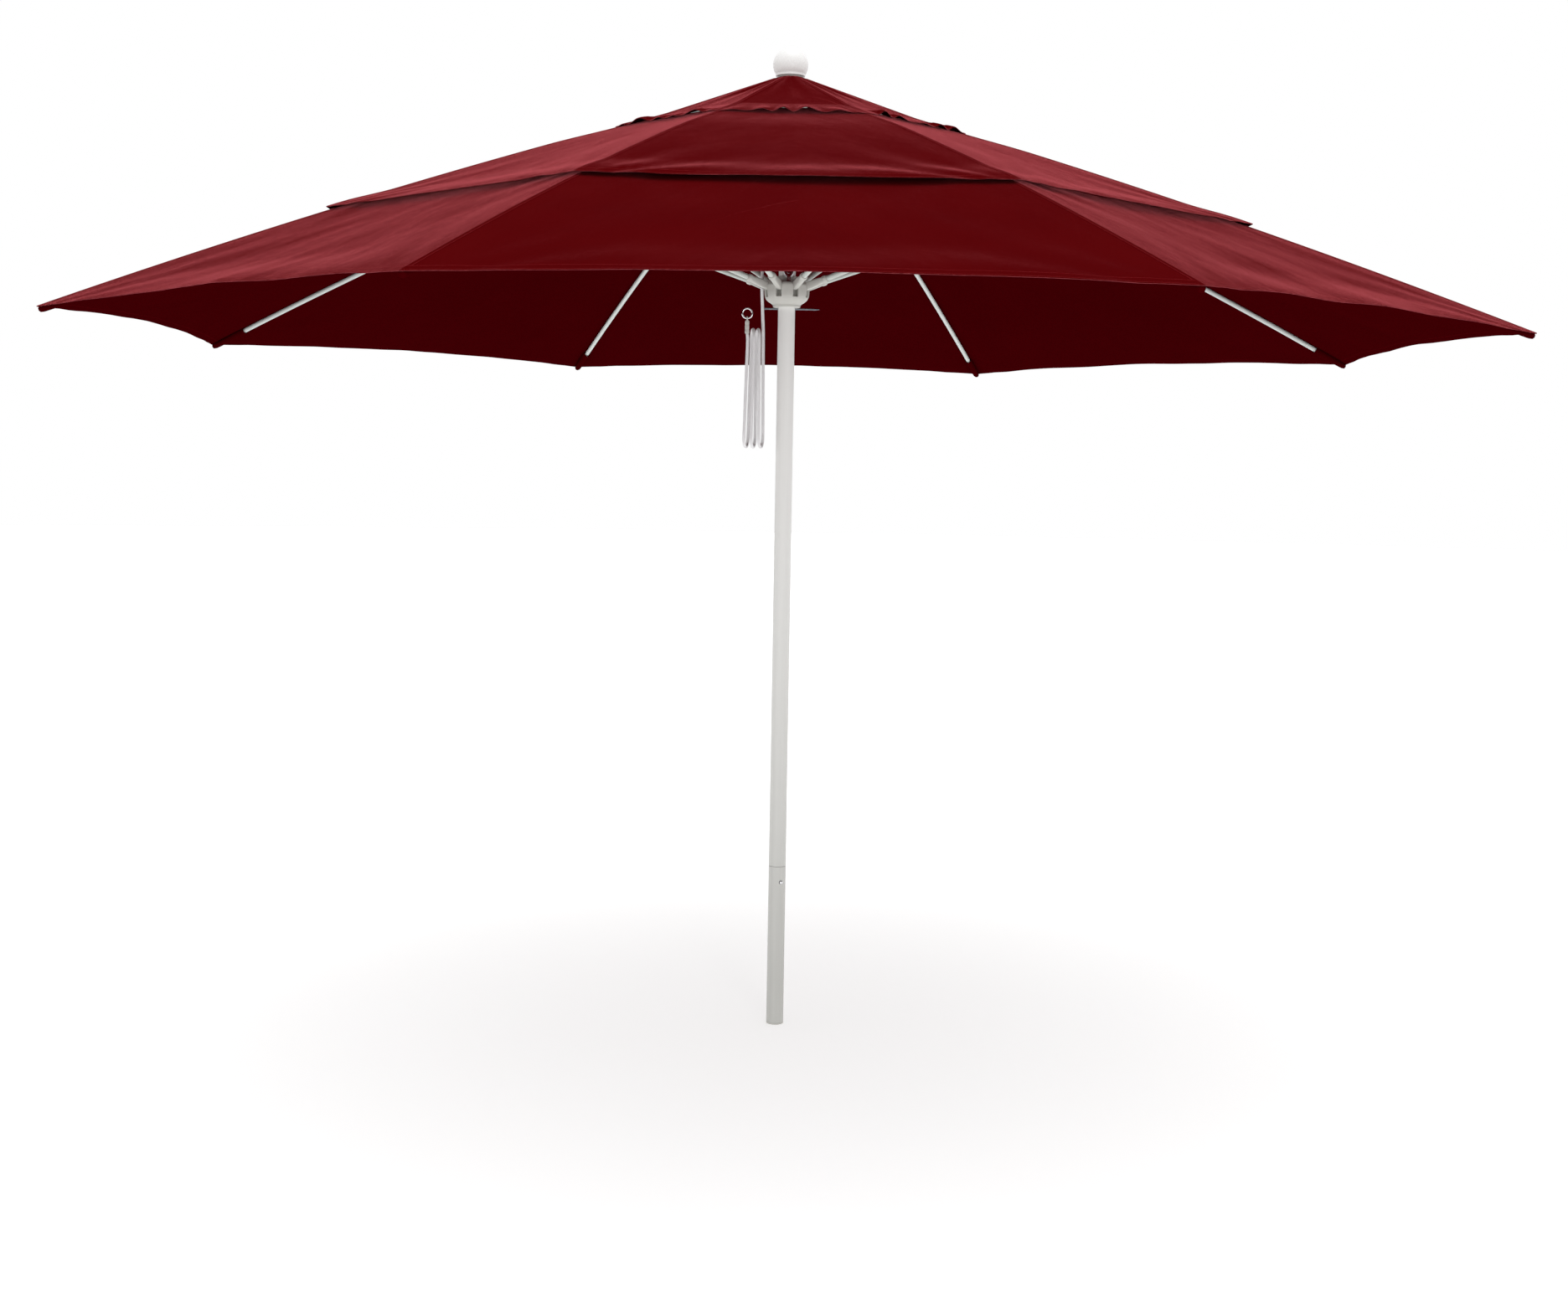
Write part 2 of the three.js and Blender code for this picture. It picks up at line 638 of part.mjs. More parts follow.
// The stitching along the rib that joins an upper tier to the one below it.
function seam(from, to, below, above) {
  const low = [from, to].map((reach) => [reach, below(reach) + 0.4]);
  const high = [to, from].map((reach) => [reach, above(reach) + 0.5]);
  return plate([...low, ...high], 8);
}

const tiers = [
  tier(930, TIP_R, SCALLOP, lowerCloth, 3),
  tier(330, MIDDLE_R, 0.002, middleCloth, 4),
  tier(CAP_INNER_R, CAP_R, 0.002, capCloth, 2),
];
const seams = [seam(975, 1010, lowerCloth, middleCloth), seam(372, 400, middleCloth, capCloth)];
const pocket = tube(new RibCurve(0.942, 1.003), 8.4, 1, 6);
const pocketBore = tube(new RibCurve(0.93, 1.0008), 7.2, 1, 6);
const sector = joined(...tiers, ...seams).add(cut(solid(pocket), pocketBore));

for (let i = 0; i < RIBS; i++) {
  const frame = new THREE.Group();
  frame.rotation.z = turnOf(i);
  umbrella.add(frame);
  const number = i + 1;
  place(`rib_${number}`, rib, whitePaint, frame);
  place(`strut_bracket_${number}`, bracket, whitePlastic, frame);
  place(`strut_${number}`, strut, whitePaint, frame);
  place(`canopy_sector_${number}`, sector, canvasRed, frame);
}

export default umbrella;
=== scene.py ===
"""Market umbrella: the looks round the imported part.

Lengths in the geometry sections are millimetres in each rib's own plane; pieces are built in metres in the
part's frame, with +Z up, the front at -Y and rib azimuths counted from -Y towards +X.
"""
import math

import bpy
import numpy as np
from mathutils import Matrix, Vector


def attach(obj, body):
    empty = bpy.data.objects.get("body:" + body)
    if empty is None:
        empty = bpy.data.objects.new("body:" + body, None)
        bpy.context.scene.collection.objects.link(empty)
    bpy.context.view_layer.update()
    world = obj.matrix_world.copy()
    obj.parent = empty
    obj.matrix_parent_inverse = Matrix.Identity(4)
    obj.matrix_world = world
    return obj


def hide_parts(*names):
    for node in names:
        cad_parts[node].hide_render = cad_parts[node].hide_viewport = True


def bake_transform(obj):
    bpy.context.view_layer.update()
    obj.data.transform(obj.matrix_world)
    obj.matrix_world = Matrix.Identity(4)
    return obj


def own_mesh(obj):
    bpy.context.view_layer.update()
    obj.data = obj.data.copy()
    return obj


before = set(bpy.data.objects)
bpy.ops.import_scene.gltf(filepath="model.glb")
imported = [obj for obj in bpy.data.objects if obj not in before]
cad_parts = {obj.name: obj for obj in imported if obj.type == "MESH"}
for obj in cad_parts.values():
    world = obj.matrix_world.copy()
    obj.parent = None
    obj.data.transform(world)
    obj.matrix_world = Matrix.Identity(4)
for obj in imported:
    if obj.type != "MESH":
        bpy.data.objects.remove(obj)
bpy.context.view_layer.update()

MM = 0.001
scene = bpy.context.scene

# ---- driving dimensions, in millimetres ----
RIBS = 8
HALF_GORE = math.radians(22.5)
AZIMUTHS = [math.radians(-157.5 + 45 * i) for i in range(RIBS)]
HINGE_R = 44
CROWN_Z = 2085
RUNNER_Z = 1651
RIB_TIP = (1560, 1530)
RIB_BOW = 20
RIB_R = 5.75
STRUT_LENGTH = 650
STRUT_R = 6
BRACKET_PIN = (656.7, 1868)
POLE_R = 19.05
ROPE_R = 3.5

# ---- camera ----
camera_data = bpy.data.cameras.new("camera")
camera_data.sensor_width = 36
camera_data.lens = 44.19
camera_data.shift_y = -0.1239
camera = bpy.data.objects.new("camera", camera_data)
scene.collection.objects.link(camera)
scene.camera = camera
CAMERA_AT = Vector((-0.0735, -4.321, 1.258))
CAMERA_ROLL = 0.0168
forward = Vector((0.017, 1, 0)).normalized()
level = forward.cross(Vector((0, 0, 1)))
right = level * math.cos(CAMERA_ROLL) + Vector((0, 0, 1)) * math.sin(CAMERA_ROLL)
up = right.cross(forward)
camera.matrix_world = Matrix.Translation(CAMERA_AT) @ Matrix((right, up, -forward)).transposed().to_4x4()


# ---- meshes ----
class Shape:
    """The closed shells of one piece: points in metres, faces, a UV for each corner, a material index."""

    def __init__(self):
        self.points = []
        self.faces = []
        self.uvs = []
        self.finishes = []

    def add(self, points, faces, uvs, finish=0):
        start = len(self.points)
        self.points.extend(points)
        self.faces.extend([tuple(start + i for i in face) for face in faces])
        self.uvs.extend(uvs)
        self.finishes.extend([finish] * len(faces))
        return self

    def loft(self, rings, finish=0, caps=True):
        """Quads round a row of closed rings of points, closed with a fan at each end."""
        rings = np.asarray(rings, float)
        count, sides = rings.shape[:2]
        middles = rings.mean(axis=1)
        along = np.concatenate([[0], np.cumsum(np.linalg.norm(np.diff(rings[:, 0], axis=0), axis=1))])
        girth = max(np.linalg.norm(rings - np.roll(rings, 1, axis=1), axis=2).sum(axis=1))
        points = [tuple(p) for ring in rings for p in ring]
        faces, uvs = [], []
        for i in range(count - 1):
            for j in range(sides):
                k = (j + 1) % sides
                faces.append((i * sides + j, i * sides + k, (i + 1) * sides + k, (i + 1) * sides + j))
                u0, u1 = j * girth / sides, (j + 1) * girth / sides
                uvs.append([(u0, along[i]), (u1, along[i]), (u1, along[i + 1]), (u0, along[i + 1])])
        if caps:
            for row, flip in ((0, True), (count - 1, False)):
                centre = len(points)
                points.append(tuple(middles[row]))
                for j in range(sides):
                    a, b = row * sides + j, row * sides + (j + 1) % sides
                    faces.append((b, a, centre) if flip else (a, b, centre))
                    uvs.append([(0, along[row]), (girth / sides, along[row]), (0, along[row] + 0.003)])
        return self.add(points, faces, uvs, finish)


def piece(name, shape, materials, body=None, replaces=(), sharp=35):
    mesh = bpy.data.meshes.new(name)
    mesh.from_pydata(shape.points, [], shape.faces)
    layer = mesh.uv_layers.new(name="metres")
    flat = np.array([c for face in shape.uvs for c in face], np.float32).ravel()
    layer.data.foreach_set("uv", flat)
    for material in materials:
        mesh.materials.append(material)
    mesh.polygons.foreach_set("material_index", shape.finishes)
    mesh.polygons.foreach_set("use_smooth", [True] * len(mesh.polygons))
    mesh.update()
    if sharp:
        mesh.set_sharp_from_angle(angle=math.radians(sharp))
    obj = bpy.data.objects.new(name, mesh)
    scene.collection.objects.link(obj)
    if body:
        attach(obj, body)
    if replaces:
        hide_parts(*replaces)
    return obj


def frames(path):
    """Tangent and two normals at each point of a path, carried along it without twist."""
    path = np.asarray(path, float)
    tangents = np.gradient(path, axis=0)
    tangents /= np.linalg.norm(tangents, axis=1)[:, None]
    first = np.cross(tangents[0], (0, 0, 1) if abs(tangents[0][2]) < 0.9 else (0, 1, 0))
    normal = first / np.linalg.norm(first)
    rows = []
    for tangent in tangents:
        normal = normal - tangent * normal.dot(tangent)
        normal /= np.linalg.norm(normal)
        rows.append((tangent, normal, np.cross(tangent, normal)))
    return path, rows


def sweep(path, radii, sides=16):
    """Round rings along a path in metres."""
    path, rows = frames(path)
    radii = np.broadcast_to(np.asarray(radii, float), (len(path),))
    turn = np.arange(sides) * 2 * math.pi / sides
    return [
        centre + radius * (np.cos(turn)[:, None] * side + np.sin(turn)[:, None] * over)
        for centre, radius, (_, side, over) in zip(path, radii, rows)
    ]


def lathe(profile, centre=(0, 0, 0), axis=(0, 0, 1), segments=64):
    """Rings of a profile of (radius, height) in millimetres, turned about an axis."""
    way = Vector(axis).normalized()
    side = way.orthogonal().normalized() if abs(way.z) < 0.999 else Vector((1, 0, 0))
    over = way.cross(side)
    turn = np.arange(segments) * 2 * math.pi / segments
    round_ = np.cos(turn)[:, None] * np.array(side) + np.sin(turn)[:, None] * np.array(over)
    return [
        np.array(centre) * MM + max(radius, 0.01) * MM * round_ + height * MM * np.array(way)
        for radius, height in profile
    ]


def rounded(corners, radius, steps=4, loop=False):
    """A polyline with each corner turned into a short curve."""
    corners = [np.array(c, float) for c in corners]
    out = []
    count = len(corners)
    for i, corner in enumerate(corners):
        if not loop and i in (0, count - 1):
            out.append(tuple(corner))
            continue
        before, after = corners[i - 1] - corner, corners[(i + 1) % count] - corner
        reach = min(radius, 0.45 * np.linalg.norm(before), 0.45 * np.linalg.norm(after))
        a = corner + before / np.linalg.norm(before) * reach
        b = corner + after / np.linalg.norm(after) * reach
        for k in range(steps + 1):
            t = k / steps
            out.append(tuple((1 - t) ** 2 * a + 2 * t * (1 - t) * corner + t * t * b))
    return out


def turned_to(azimuth, x, y, z):
    """A point of a rib's plane, in millimetres, as a point of the part's frame, in metres."""
    return (
        (x * math.sin(azimuth) + y * math.cos(azimuth)) * MM,
        (-x * math.cos(azimuth) + y * math.sin(azimuth)) * MM,
        z * MM,
    )


def carve(obj, tool):
    """Takes the tool's shape out of obj and throws the tool away."""
    modifier = obj.modifiers.new("cut", "BOOLEAN")
    modifier.object = tool
    modifier.operation = "DIFFERENCE"
    modifier.solver = "EXACT"
    graph = bpy.context.evaluated_depsgraph_get()
    made = bpy.data.meshes.new_from_object(obj.evaluated_get(graph))
    obj.modifiers.clear()
    obj.data = made
    bpy.data.objects.remove(tool)


def soften(obj, width, segments=3):
    """Rounds the sharp edges of obj."""
    modifier = obj.modifiers.new("soft edges", "BEVEL")
    modifier.width = width * MM
    modifier.segments = segments
    modifier.limit_method = "ANGLE"
    modifier.angle_limit = math.radians(40)
    modifier.harden_normals = False
    graph = bpy.context.evaluated_depsgraph_get()
    made = bpy.data.meshes.new_from_object(obj.evaluated_get(graph))
    obj.modifiers.clear()
    obj.data = made
    made.polygons.foreach_set("use_smooth", [True] * len(made.polygons))
    made.set_sharp_from_angle(angle=math.radians(50))


def smoothstep(low, high, x):
    t = np.clip((x - low) / (high - low), 0, 1)
    return t * t * (3 - 2 * t)


# ---- materials ----
class Finish:
    """A Principled material and short calls for its nodes."""

    def __init__(self, name, color, roughness, metallic=0.0):
        self.material = bpy.data.materials.new(name)
        self.material.use_nodes = True
        self.tree = self.material.node_tree
        self.shader = self.tree.nodes["Principled BSDF"]
        self.shader.inputs["Metallic"].default_value = metallic
        self.shader.inputs["Roughness"].default_value = roughness
        self.shader.inputs["Base Color"].default_value = (*color, 1)

    def node(self, kind, **inputs):
        made = self.tree.nodes.new(kind)
        for name, value in inputs.items():
            self.put(made.inputs[name.replace("_", " ")], value)
        return made

    def put(self, socket, value):
        if isinstance(value, bpy.types.NodeSocket):
            self.tree.links.new(value, socket)
        else:
            socket.default_value = value

    def math(self, operation, a, b=0.0, c=0.0):
        made = self.tree.nodes.new("ShaderNodeMath")
        made.operation = operation
        for socket, value in zip(made.inputs, (a, b, c)):
            self.put(socket, value)
        return made.outputs[0]

    def metres(self):
        made = self.tree.nodes.new("ShaderNodeUVMap")
        made.uv_map = "metres"
        return made.outputs[0]

    def place(self):
        return self.tree.nodes.new("ShaderNodeTexCoord").outputs["Object"]

    def scaled(self, vector, x, y, z=1.0):
        made = self.tree.nodes.new("ShaderNodeVectorMath")
        made.operation = "MULTIPLY"
        self.put(made.inputs[0], vector)
        made.inputs[1].default_value = (x, y, z)
        return made.outputs[0]

    def noise(self, vector, scale, detail=3.0, rough=0.5):
        made = self.node("ShaderNodeTexNoise", Vector=vector, Scale=scale, Detail=detail, Roughness=rough)
        return made.outputs[0]

    def ramp(self, value, low, high, out_low=0.0, out_high=1.0):
        made = self.node("ShaderNodeMapRange", Value=value)
        for name, v in (("From Min", low), ("From Max", high), ("To Min", out_low), ("To Max", out_high)):
            made.inputs[name].default_value = v
        return made.outputs[0]

    def blend(self, share, first, second):
        made = self.tree.nodes.new("ShaderNodeMix")
        made.data_type = "RGBA"
        self.put(made.inputs["Factor"], share)
        for socket, value in ((made.inputs[6], first), (made.inputs[7], second)):
            self.put(socket, (*value, 1) if isinstance(value, tuple) else value)
        return made.outputs[2]

    def color(self, value):
        self.put(self.shader.inputs["Base Color"], value)

    def roughness(self, value):
        self.put(self.shader.inputs["Roughness"], value)

    def bump(self, height, distance, strength=1.0):
        made = self.node("ShaderNodeBump", Height=height, Distance=distance, Strength=strength)
        earlier = self.shader.inputs["Normal"]
        if earlier.is_linked:
            self.tree.links.new(earlier.links[0].from_socket, made.inputs["Normal"])
        self.tree.links.new(made.outputs[0], earlier)

    def split(self, vector):
        made = self.tree.nodes.new("ShaderNodeSeparateXYZ")
        self.put(made.inputs[0], vector)
        return made.outputs[0], made.outputs[1]


THREAD = 0.0011  # pitch of the canopy's yarns, in metres
STITCH = 0.0045  # pitch of the stitches
SHEEN_TINT = (1, 0.20, 0.23)


def woven(finish, vector):
    """Over and under of a plain weave, from 0 to 1."""
    u, v = finish.split(vector)
    across = finish.math("SINE", finish.math("MULTIPLY", u, 2 * math.pi / THREAD))
    along = finish.math("SINE", finish.math("MULTIPLY", v, 2 * math.pi / THREAD))
    return finish.math("MULTIPLY_ADD", finish.math("MULTIPLY", across, along), 0.5, 0.5)


def stitches(finish, vector, lines):
    """Dashes of thread along v, at each distance u of lines."""
    u, v = finish.split(vector)
    u = finish.math("ABSOLUTE", u)
    dash = finish.math("LESS_THAN", finish.math("FRACT", finish.math("MULTIPLY", v, 1 / STITCH)), 0.72)
    total = 0.0
    for line in lines:
        off = finish.math("ABSOLUTE", finish.math("SUBTRACT", u, line))
        total = finish.math("ADD", finish.math("LESS_THAN", off, 0.0006), total)
    return finish.math("MULTIPLY", total, dash)


def cloth(name, dark, light, thread, sheen, lines, hem_map="hem", marks=0.22):
    """Woven acrylic canvas: yarn bump, mottled dye, creases and rows of stitching."""
    finish = Finish(name, dark, 0.92)
    metres = finish.metres()
    weave = woven(finish, metres)
    mottle = finish.noise(finish.scaled(metres, 5, 5), 1.0, 5.0, 0.6)
    slub = finish.noise(finish.scaled(metres, 900, 60), 1.0, 2.0)
    grain = finish.noise(finish.scaled(metres, 260, 260), 1.0, 3.0, 0.75)
    patches = finish.ramp(mottle, 0.3, 0.7, 0, 0.3)
    share = finish.math("MULTIPLY_ADD", finish.ramp(grain, 0.3, 0.7), 0.5, patches)
    tone = finish.blend(finish.math("MULTIPLY_ADD", slub, 0.25, share), dark, light)
    hem = finish.tree.nodes.new("ShaderNodeUVMap")
    hem.uv_map = hem_map
    rows = stitches(finish, hem.outputs[0], lines)
    tone = finish.blend(rows, tone, thread)
    finish.bump(rows, 0.0006, 0.8)
    if marks:
        fold = finish.noise(finish.scaled(metres, 5.5, 2.6), 1.0, 1.5, 0.4)
        fold = finish.math("ABSOLUTE", finish.math("SUBTRACT", fold, 0.5))
        some = finish.ramp(finish.noise(finish.scaled(metres, 2.2, 2.2), 1.0, 1.0), 0.5, 0.62)
        line = finish.math("MULTIPLY", finish.ramp(fold, 0.0, 0.006, 1, 0), some)
        tone = finish.blend(finish.math("MULTIPLY", line, marks), tone, thread)
        finish.bump(line, 0.0008, 0.4)
    finish.color(tone)
    crease = finish.noise(finish.scaled(metres, 16, 7), 1.0, 6.0, 0.55)
    finish.bump(crease, 0.006, 0.25)
    finish.bump(grain, 0.0005, 0.35)
    finish.bump(weave, 0.00012, 0.5)
    finish.roughness(finish.ramp(mottle, 0.3, 0.7, 0.86, 0.96))
    finish.shader.inputs["Sheen Weight"].default_value = sheen
    finish.shader.inputs["Sheen Roughness"].default_value = 0.12
    finish.shader.inputs["Sheen Tint"].default_value = (*SHEEN_TINT, 1)
    finish.shader.inputs["Specular IOR Level"].default_value = 0.0
    return finish.material


# distances of the rows of stitching: from the hem's edge, and from the middle of a seam
HEM_ROWS = (0.0018, 0.0195)
TAPE_ROWS = (0.0052,)
CLOTH_TOP = cloth("canopy cloth", (0.066, 0.0010, 0.0018), (0.094, 0.0020, 0.0028),
                  (0.17, 0.006, 0.008), 1.0, HEM_ROWS)
# painted shade: the underside's cloth is the top cloth's dye at about half its brightness, also used on the
# sheet edges and the rib pockets
CLOTH_PAINTED_SHADE = cloth("canopy cloth underside", (0.034, 0.0001, 0.0008), (0.046, 0.0002, 0.0012),
                    (0.08, 0.001, 0.003), 0.0, HEM_ROWS, marks=0)
CLOTH_TRIM = cloth("canopy seam tape", (0.062, 0.0010, 0.0017), (0.088, 0.0018, 0.0026),
                   (0.16, 0.006, 0.008), 1.0, TAPE_ROWS, hem_map="metres")


def moulded(name, low, high, roughness, grain=900.0):
    """Moulded plastic: fine spark texture, slight unevenness and dust in the colour."""
    finish = Finish(name, high, roughness)
    place = finish.place()
    cloud = finish.noise(place, 14.0, 4.0)
    spark = finish.noise(place, grain, 2.0)
    finish.color(finish.blend(finish.ramp(cloud, 0.3, 0.75), high, low))
    finish.roughness(finish.ramp(spark, 0.3, 0.7, roughness - 0.06, roughness + 0.1))
    finish.bump(spark, 0.0002, 0.35)
    finish.bump(cloud, 0.002, 0.12)
    return finish.material


PLASTIC = moulded("white plastic", (0.47, 0.465, 0.43), (0.58, 0.575, 0.54), 0.42)
PLASTIC_GLOSS = moulded("finial plastic", (0.79, 0.79, 0.775), (0.85, 0.85, 0.84), 0.24, 300.0)
BRACKET = moulded("bracket plastic", (0.50, 0.50, 0.47), (0.62, 0.62, 0.58), 0.5)


def painted():
    """Powder coat on the pole: orange peel, faint rubbed bands where the runner slides, and painted light
    and shade, lighter at the top and darker towards the bottom.
    """
    finish = Finish("pole paint", (0.80, 0.80, 0.78), 0.38)
    place = finish.place()
    peel = finish.noise(place, 420.0, 2.0)
    rub = finish.noise(finish.scaled(place, 60, 60, 1.2), 1.0, 5.0, 0.6)
    height = finish.tree.nodes.new("ShaderNodeSeparateXYZ")
    finish.put(height.inputs[0], place)
    # painted light and shade: the paint is lighter near the top and darker towards the bottom
    low = finish.ramp(height.outputs[2], 1.5, 0.1)
    unrubbed_with_painted_shade = finish.blend(low, (0.90, 0.90, 0.88), (0.50, 0.50, 0.475))
    rubbed_with_painted_shade = finish.blend(low, (0.83, 0.83, 0.81), (0.45, 0.45, 0.425))
    finish.color(finish.blend(finish.ramp(rub, 0.35, 0.8), unrubbed_with_painted_shade, rubbed_with_painted_shade))
    finish.roughness(finish.ramp(rub, 0.3, 0.7, 0.33, 0.5))
    finish.bump(peel, 0.0003, 0.25)
    return finish.material


def pultruded(name, low, high):
    """Glass-fibre rod: fibres run along it under a satin gel coat."""
    finish = Finish(name, high, 0.36)
    metres = finish.metres()
    fibres = finish.noise(finish.scaled(metres, 1600, 9), 1.0, 4.0, 0.6)
    patches = finish.noise(finish.scaled(metres, 30, 6), 1.0, 3.0)
    finish.color(finish.blend(finish.math("MULTIPLY", finish.ramp(fibres, 0.3, 0.75), 0.8), high, low))
    finish.roughness(finish.ramp(patches, 0.3, 0.7, 0.3, 0.46))
    finish.bump(fibres, 0.0002, 0.4)
    finish.shader.inputs["Coat Weight"].default_value = 0.15
    finish.shader.inputs["Coat Roughness"].default_value = 0.2
    return finish.material


def plated(name, color, roughness, streak):
    """Bare or plated metal with fine streaks and fingerprints in the gloss."""
    finish = Finish(name, color, roughness, 1.0)
    place = finish.place()
    lines = finish.noise(finish.scaled(place, streak, streak, 30), 1.0, 3.0)
    marks = finish.noise(place, 120.0, 4.0)
    finish.roughness(finish.ramp(marks, 0.3, 0.7, roughness * 0.7, roughness * 1.6))
    finish.color(finish.blend(marks, color, tuple(0.82 * c for c in color)))
    finish.bump(lines, 0.0001, 0.3)
    return finish.material


def braided():
    """Solid-braid polyester: two families of yarns crossing round the rope, each a little fuzzy."""
    finish = Finish("rope", (0.68, 0.65, 0.68), 0.85)
    u, v = finish.split(finish.metres())
    around = finish.math("MULTIPLY", u, 2 * math.pi * 8 / (2 * math.pi * ROPE_R * MM))
    along = finish.math("MULTIPLY", v, 2 * math.pi / 0.0052)
    one = finish.math("SINE", finish.math("ADD", around, along))
    two = finish.math("SINE", finish.math("SUBTRACT", around, along))
    yarn = finish.math("MAXIMUM", one, two)
    fuzz = finish.noise(finish.scaled(finish.metres(), 3000, 900), 1.0, 2.0)
    depth = finish.ramp(yarn, -0.6, 1.0)
    # painted shade: the colour is darker in the grooves between the yarns
    finish.color(finish.blend(depth, (0.60, 0.59, 0.60), (0.92, 0.91, 0.92)))
    finish.bump(depth, 0.0005, 0.7)
    finish.bump(fuzz, 0.0002, 0.4)
    finish.shader.inputs["Sheen Weight"].default_value = 0.3
    return finish.material


POLE_PAINT = painted()
RIB_ROD = pultruded("rib rod", (0.50, 0.54, 0.52), (0.62, 0.65, 0.63))
STRUT_ROD = pultruded("strut rod", (0.44, 0.48, 0.45), (0.60, 0.63, 0.59))
STEEL = plated("steel", (0.62, 0.64, 0.65), 0.34, 500)
CHROME = plated("chrome", (0.82, 0.83, 0.84), 0.12, 200)
PIN_STEEL = plated("lock pin steel", (0.20, 0.22, 0.25), 0.25, 200)
ROPE = braided()

# ---- the free end of the rope, its ferrule and ring ----
TAIL_TOP = (-56, 0, 1650)
HANK_DEPTH = 21
HANK_LOW = 1312
HANK_HIGH = 1534
STRAND_TOPS = (-51, -60, -66.5, -72, -78, -86)
STRAND_FEET = (-48.5, -58, -66, -75, -82, -91)


def arc(centre, way, radius, start, end, steps):
    """Points round an upright circle, in the plane of way and Z."""
    turn = np.linspace(start, end, steps + 1)
    flat = np.array(way, float) / np.linalg.norm(way)
    return [
        (
            centre[0] + flat[0] * radius * math.cos(a),
            centre[1] + flat[1] * radius * math.cos(a),
            centre[2] + radius * math.sin(a),
        )
        for a in turn
    ]


def strand(index, low):
    depth = HANK_DEPTH if index % 2 == 0 else -HANK_DEPTH
    x = STRAND_FEET[index] if low else STRAND_TOPS[index]
    return np.array((x, depth, HANK_LOW if low else HANK_HIGH), float)


def straight(start, end, steps):
    """Points strictly between two ends."""
    return [tuple(start + (end - start) * k / steps) for k in range(1, steps)]


tail = [
    TAIL_TOP,
    (-55.8, 0.6, 1640),
    (-55.2, 3.2, 1625),
    (-54.3, 7.4, 1606),
    (-53.2, 12, 1584),
    (-52.1, 17, 1562),
    (-51.3, 20.2, 1544),
]
for i in range(5):
    low = i % 2 == 0
    start, end = strand(i, low), strand(i + 1, low)
    middle, half = (start + end) / 2, np.linalg.norm(end - start) / 2
    tail += straight(strand(i, not low), start, 6) if i else straight(np.array(tail[-1], float), start, 8)
    tail += arc(middle, (start - middle)[:2], half, 0, -math.pi if low else math.pi, 16)
tail += straight(strand(5, True), strand(5, False), 6)
tail += [tuple(strand(5, False)), (-87.5, -HANK_DEPTH, 1544)]


def resampled(points, spacing):
    """The same line with a smooth curve through its points, one point every spacing."""
    points = np.array(points, float)
    knots = np.concatenate([[0], np.cumsum(np.linalg.norm(np.diff(points, axis=0), axis=1))])
    count = max(int(knots[-1] / spacing), 2)
    fine = np.linspace(0, knots[-1], count + 1)
    line = np.stack([np.interp(fine, knots, points[:, k]) for k in range(3)], axis=1)
    for _ in range(3):
        line[1:-1] = 0.25 * line[:-2] + 0.5 * line[1:-1] + 0.25 * line[2:]
    return line


tail_line = resampled(tail, 3.0) * MM
rope_tail = piece("rope_hank", Shape().loft(sweep(tail_line, ROPE_R * MM, 14)), [ROPE], "runner",
                  ["rope_tail"], sharp=0)

FERRULE_X = -88
ferrule_profile = rounded(
    [(0, 1544), (4.0, 1544), (4.9, 1546), (4.9, 1551), (4.5, 1552), (4.5, 1554), (4.9, 1555), (4.9, 1562),
     (4.5, 1563), (4.5, 1565), (4.9, 1566), (4.9, 1571), (3.4, 1574), (0, 1574)], 0.7, 3)
ferrule = Shape().loft(lathe(ferrule_profile, (FERRULE_X, -HANK_DEPTH, 0), segments=32))


def hoop(centre, radius, wire, plane, around=40, sides=14):
    """A closed ring of round wire; plane names the two axes that it lies in."""
    points, faces, uvs = [], [], []
    a_axis, b_axis = np.eye(3)["xyz".index(plane[0])], np.eye(3)["xyz".index(plane[1])]
    c_axis = np.cross(a_axis, b_axis)
    for i in range(around):
        big = 2 * math.pi * i / around
        out = a_axis * math.cos(big) + b_axis * math.sin(big)
        for j in range(sides):
            small = 2 * math.pi * j / sides
            p = np.array(centre) + out * (radius + wire * math.cos(small)) + c_axis * wire * math.sin(small)
            points.append(tuple(p * MM))
    for i in range(around):
        for j in range(sides):
            a, b = (i + 1) % around, (j + 1) % sides
            faces.append((i * sides + j, a * sides + j, a * sides + b, i * sides + b))
            uvs.append([(j * MM, i * MM), (j * MM, (i + 1) * MM),
                        ((j + 1) * MM, (i + 1) * MM), ((j + 1) * MM, i * MM)])
    return points, faces, uvs


ferrule.add(*hoop((FERRULE_X, -HANK_DEPTH, 1577.5), 4.5, 1.4, "yz", 28, 10))
rope_ferrule = piece("rope_end_ferrule", ferrule, [PLASTIC], "runner", ["rope_ferrule"])
ring_shell = Shape().add(*hoop((FERRULE_X, -HANK_DEPTH, 1589.2), 11, 1.8, "xz", 56, 16))
rope_ring = piece("rope_pull_ring", ring_shell, [CHROME], "runner", ["rope_end_ring"], sharp=0)

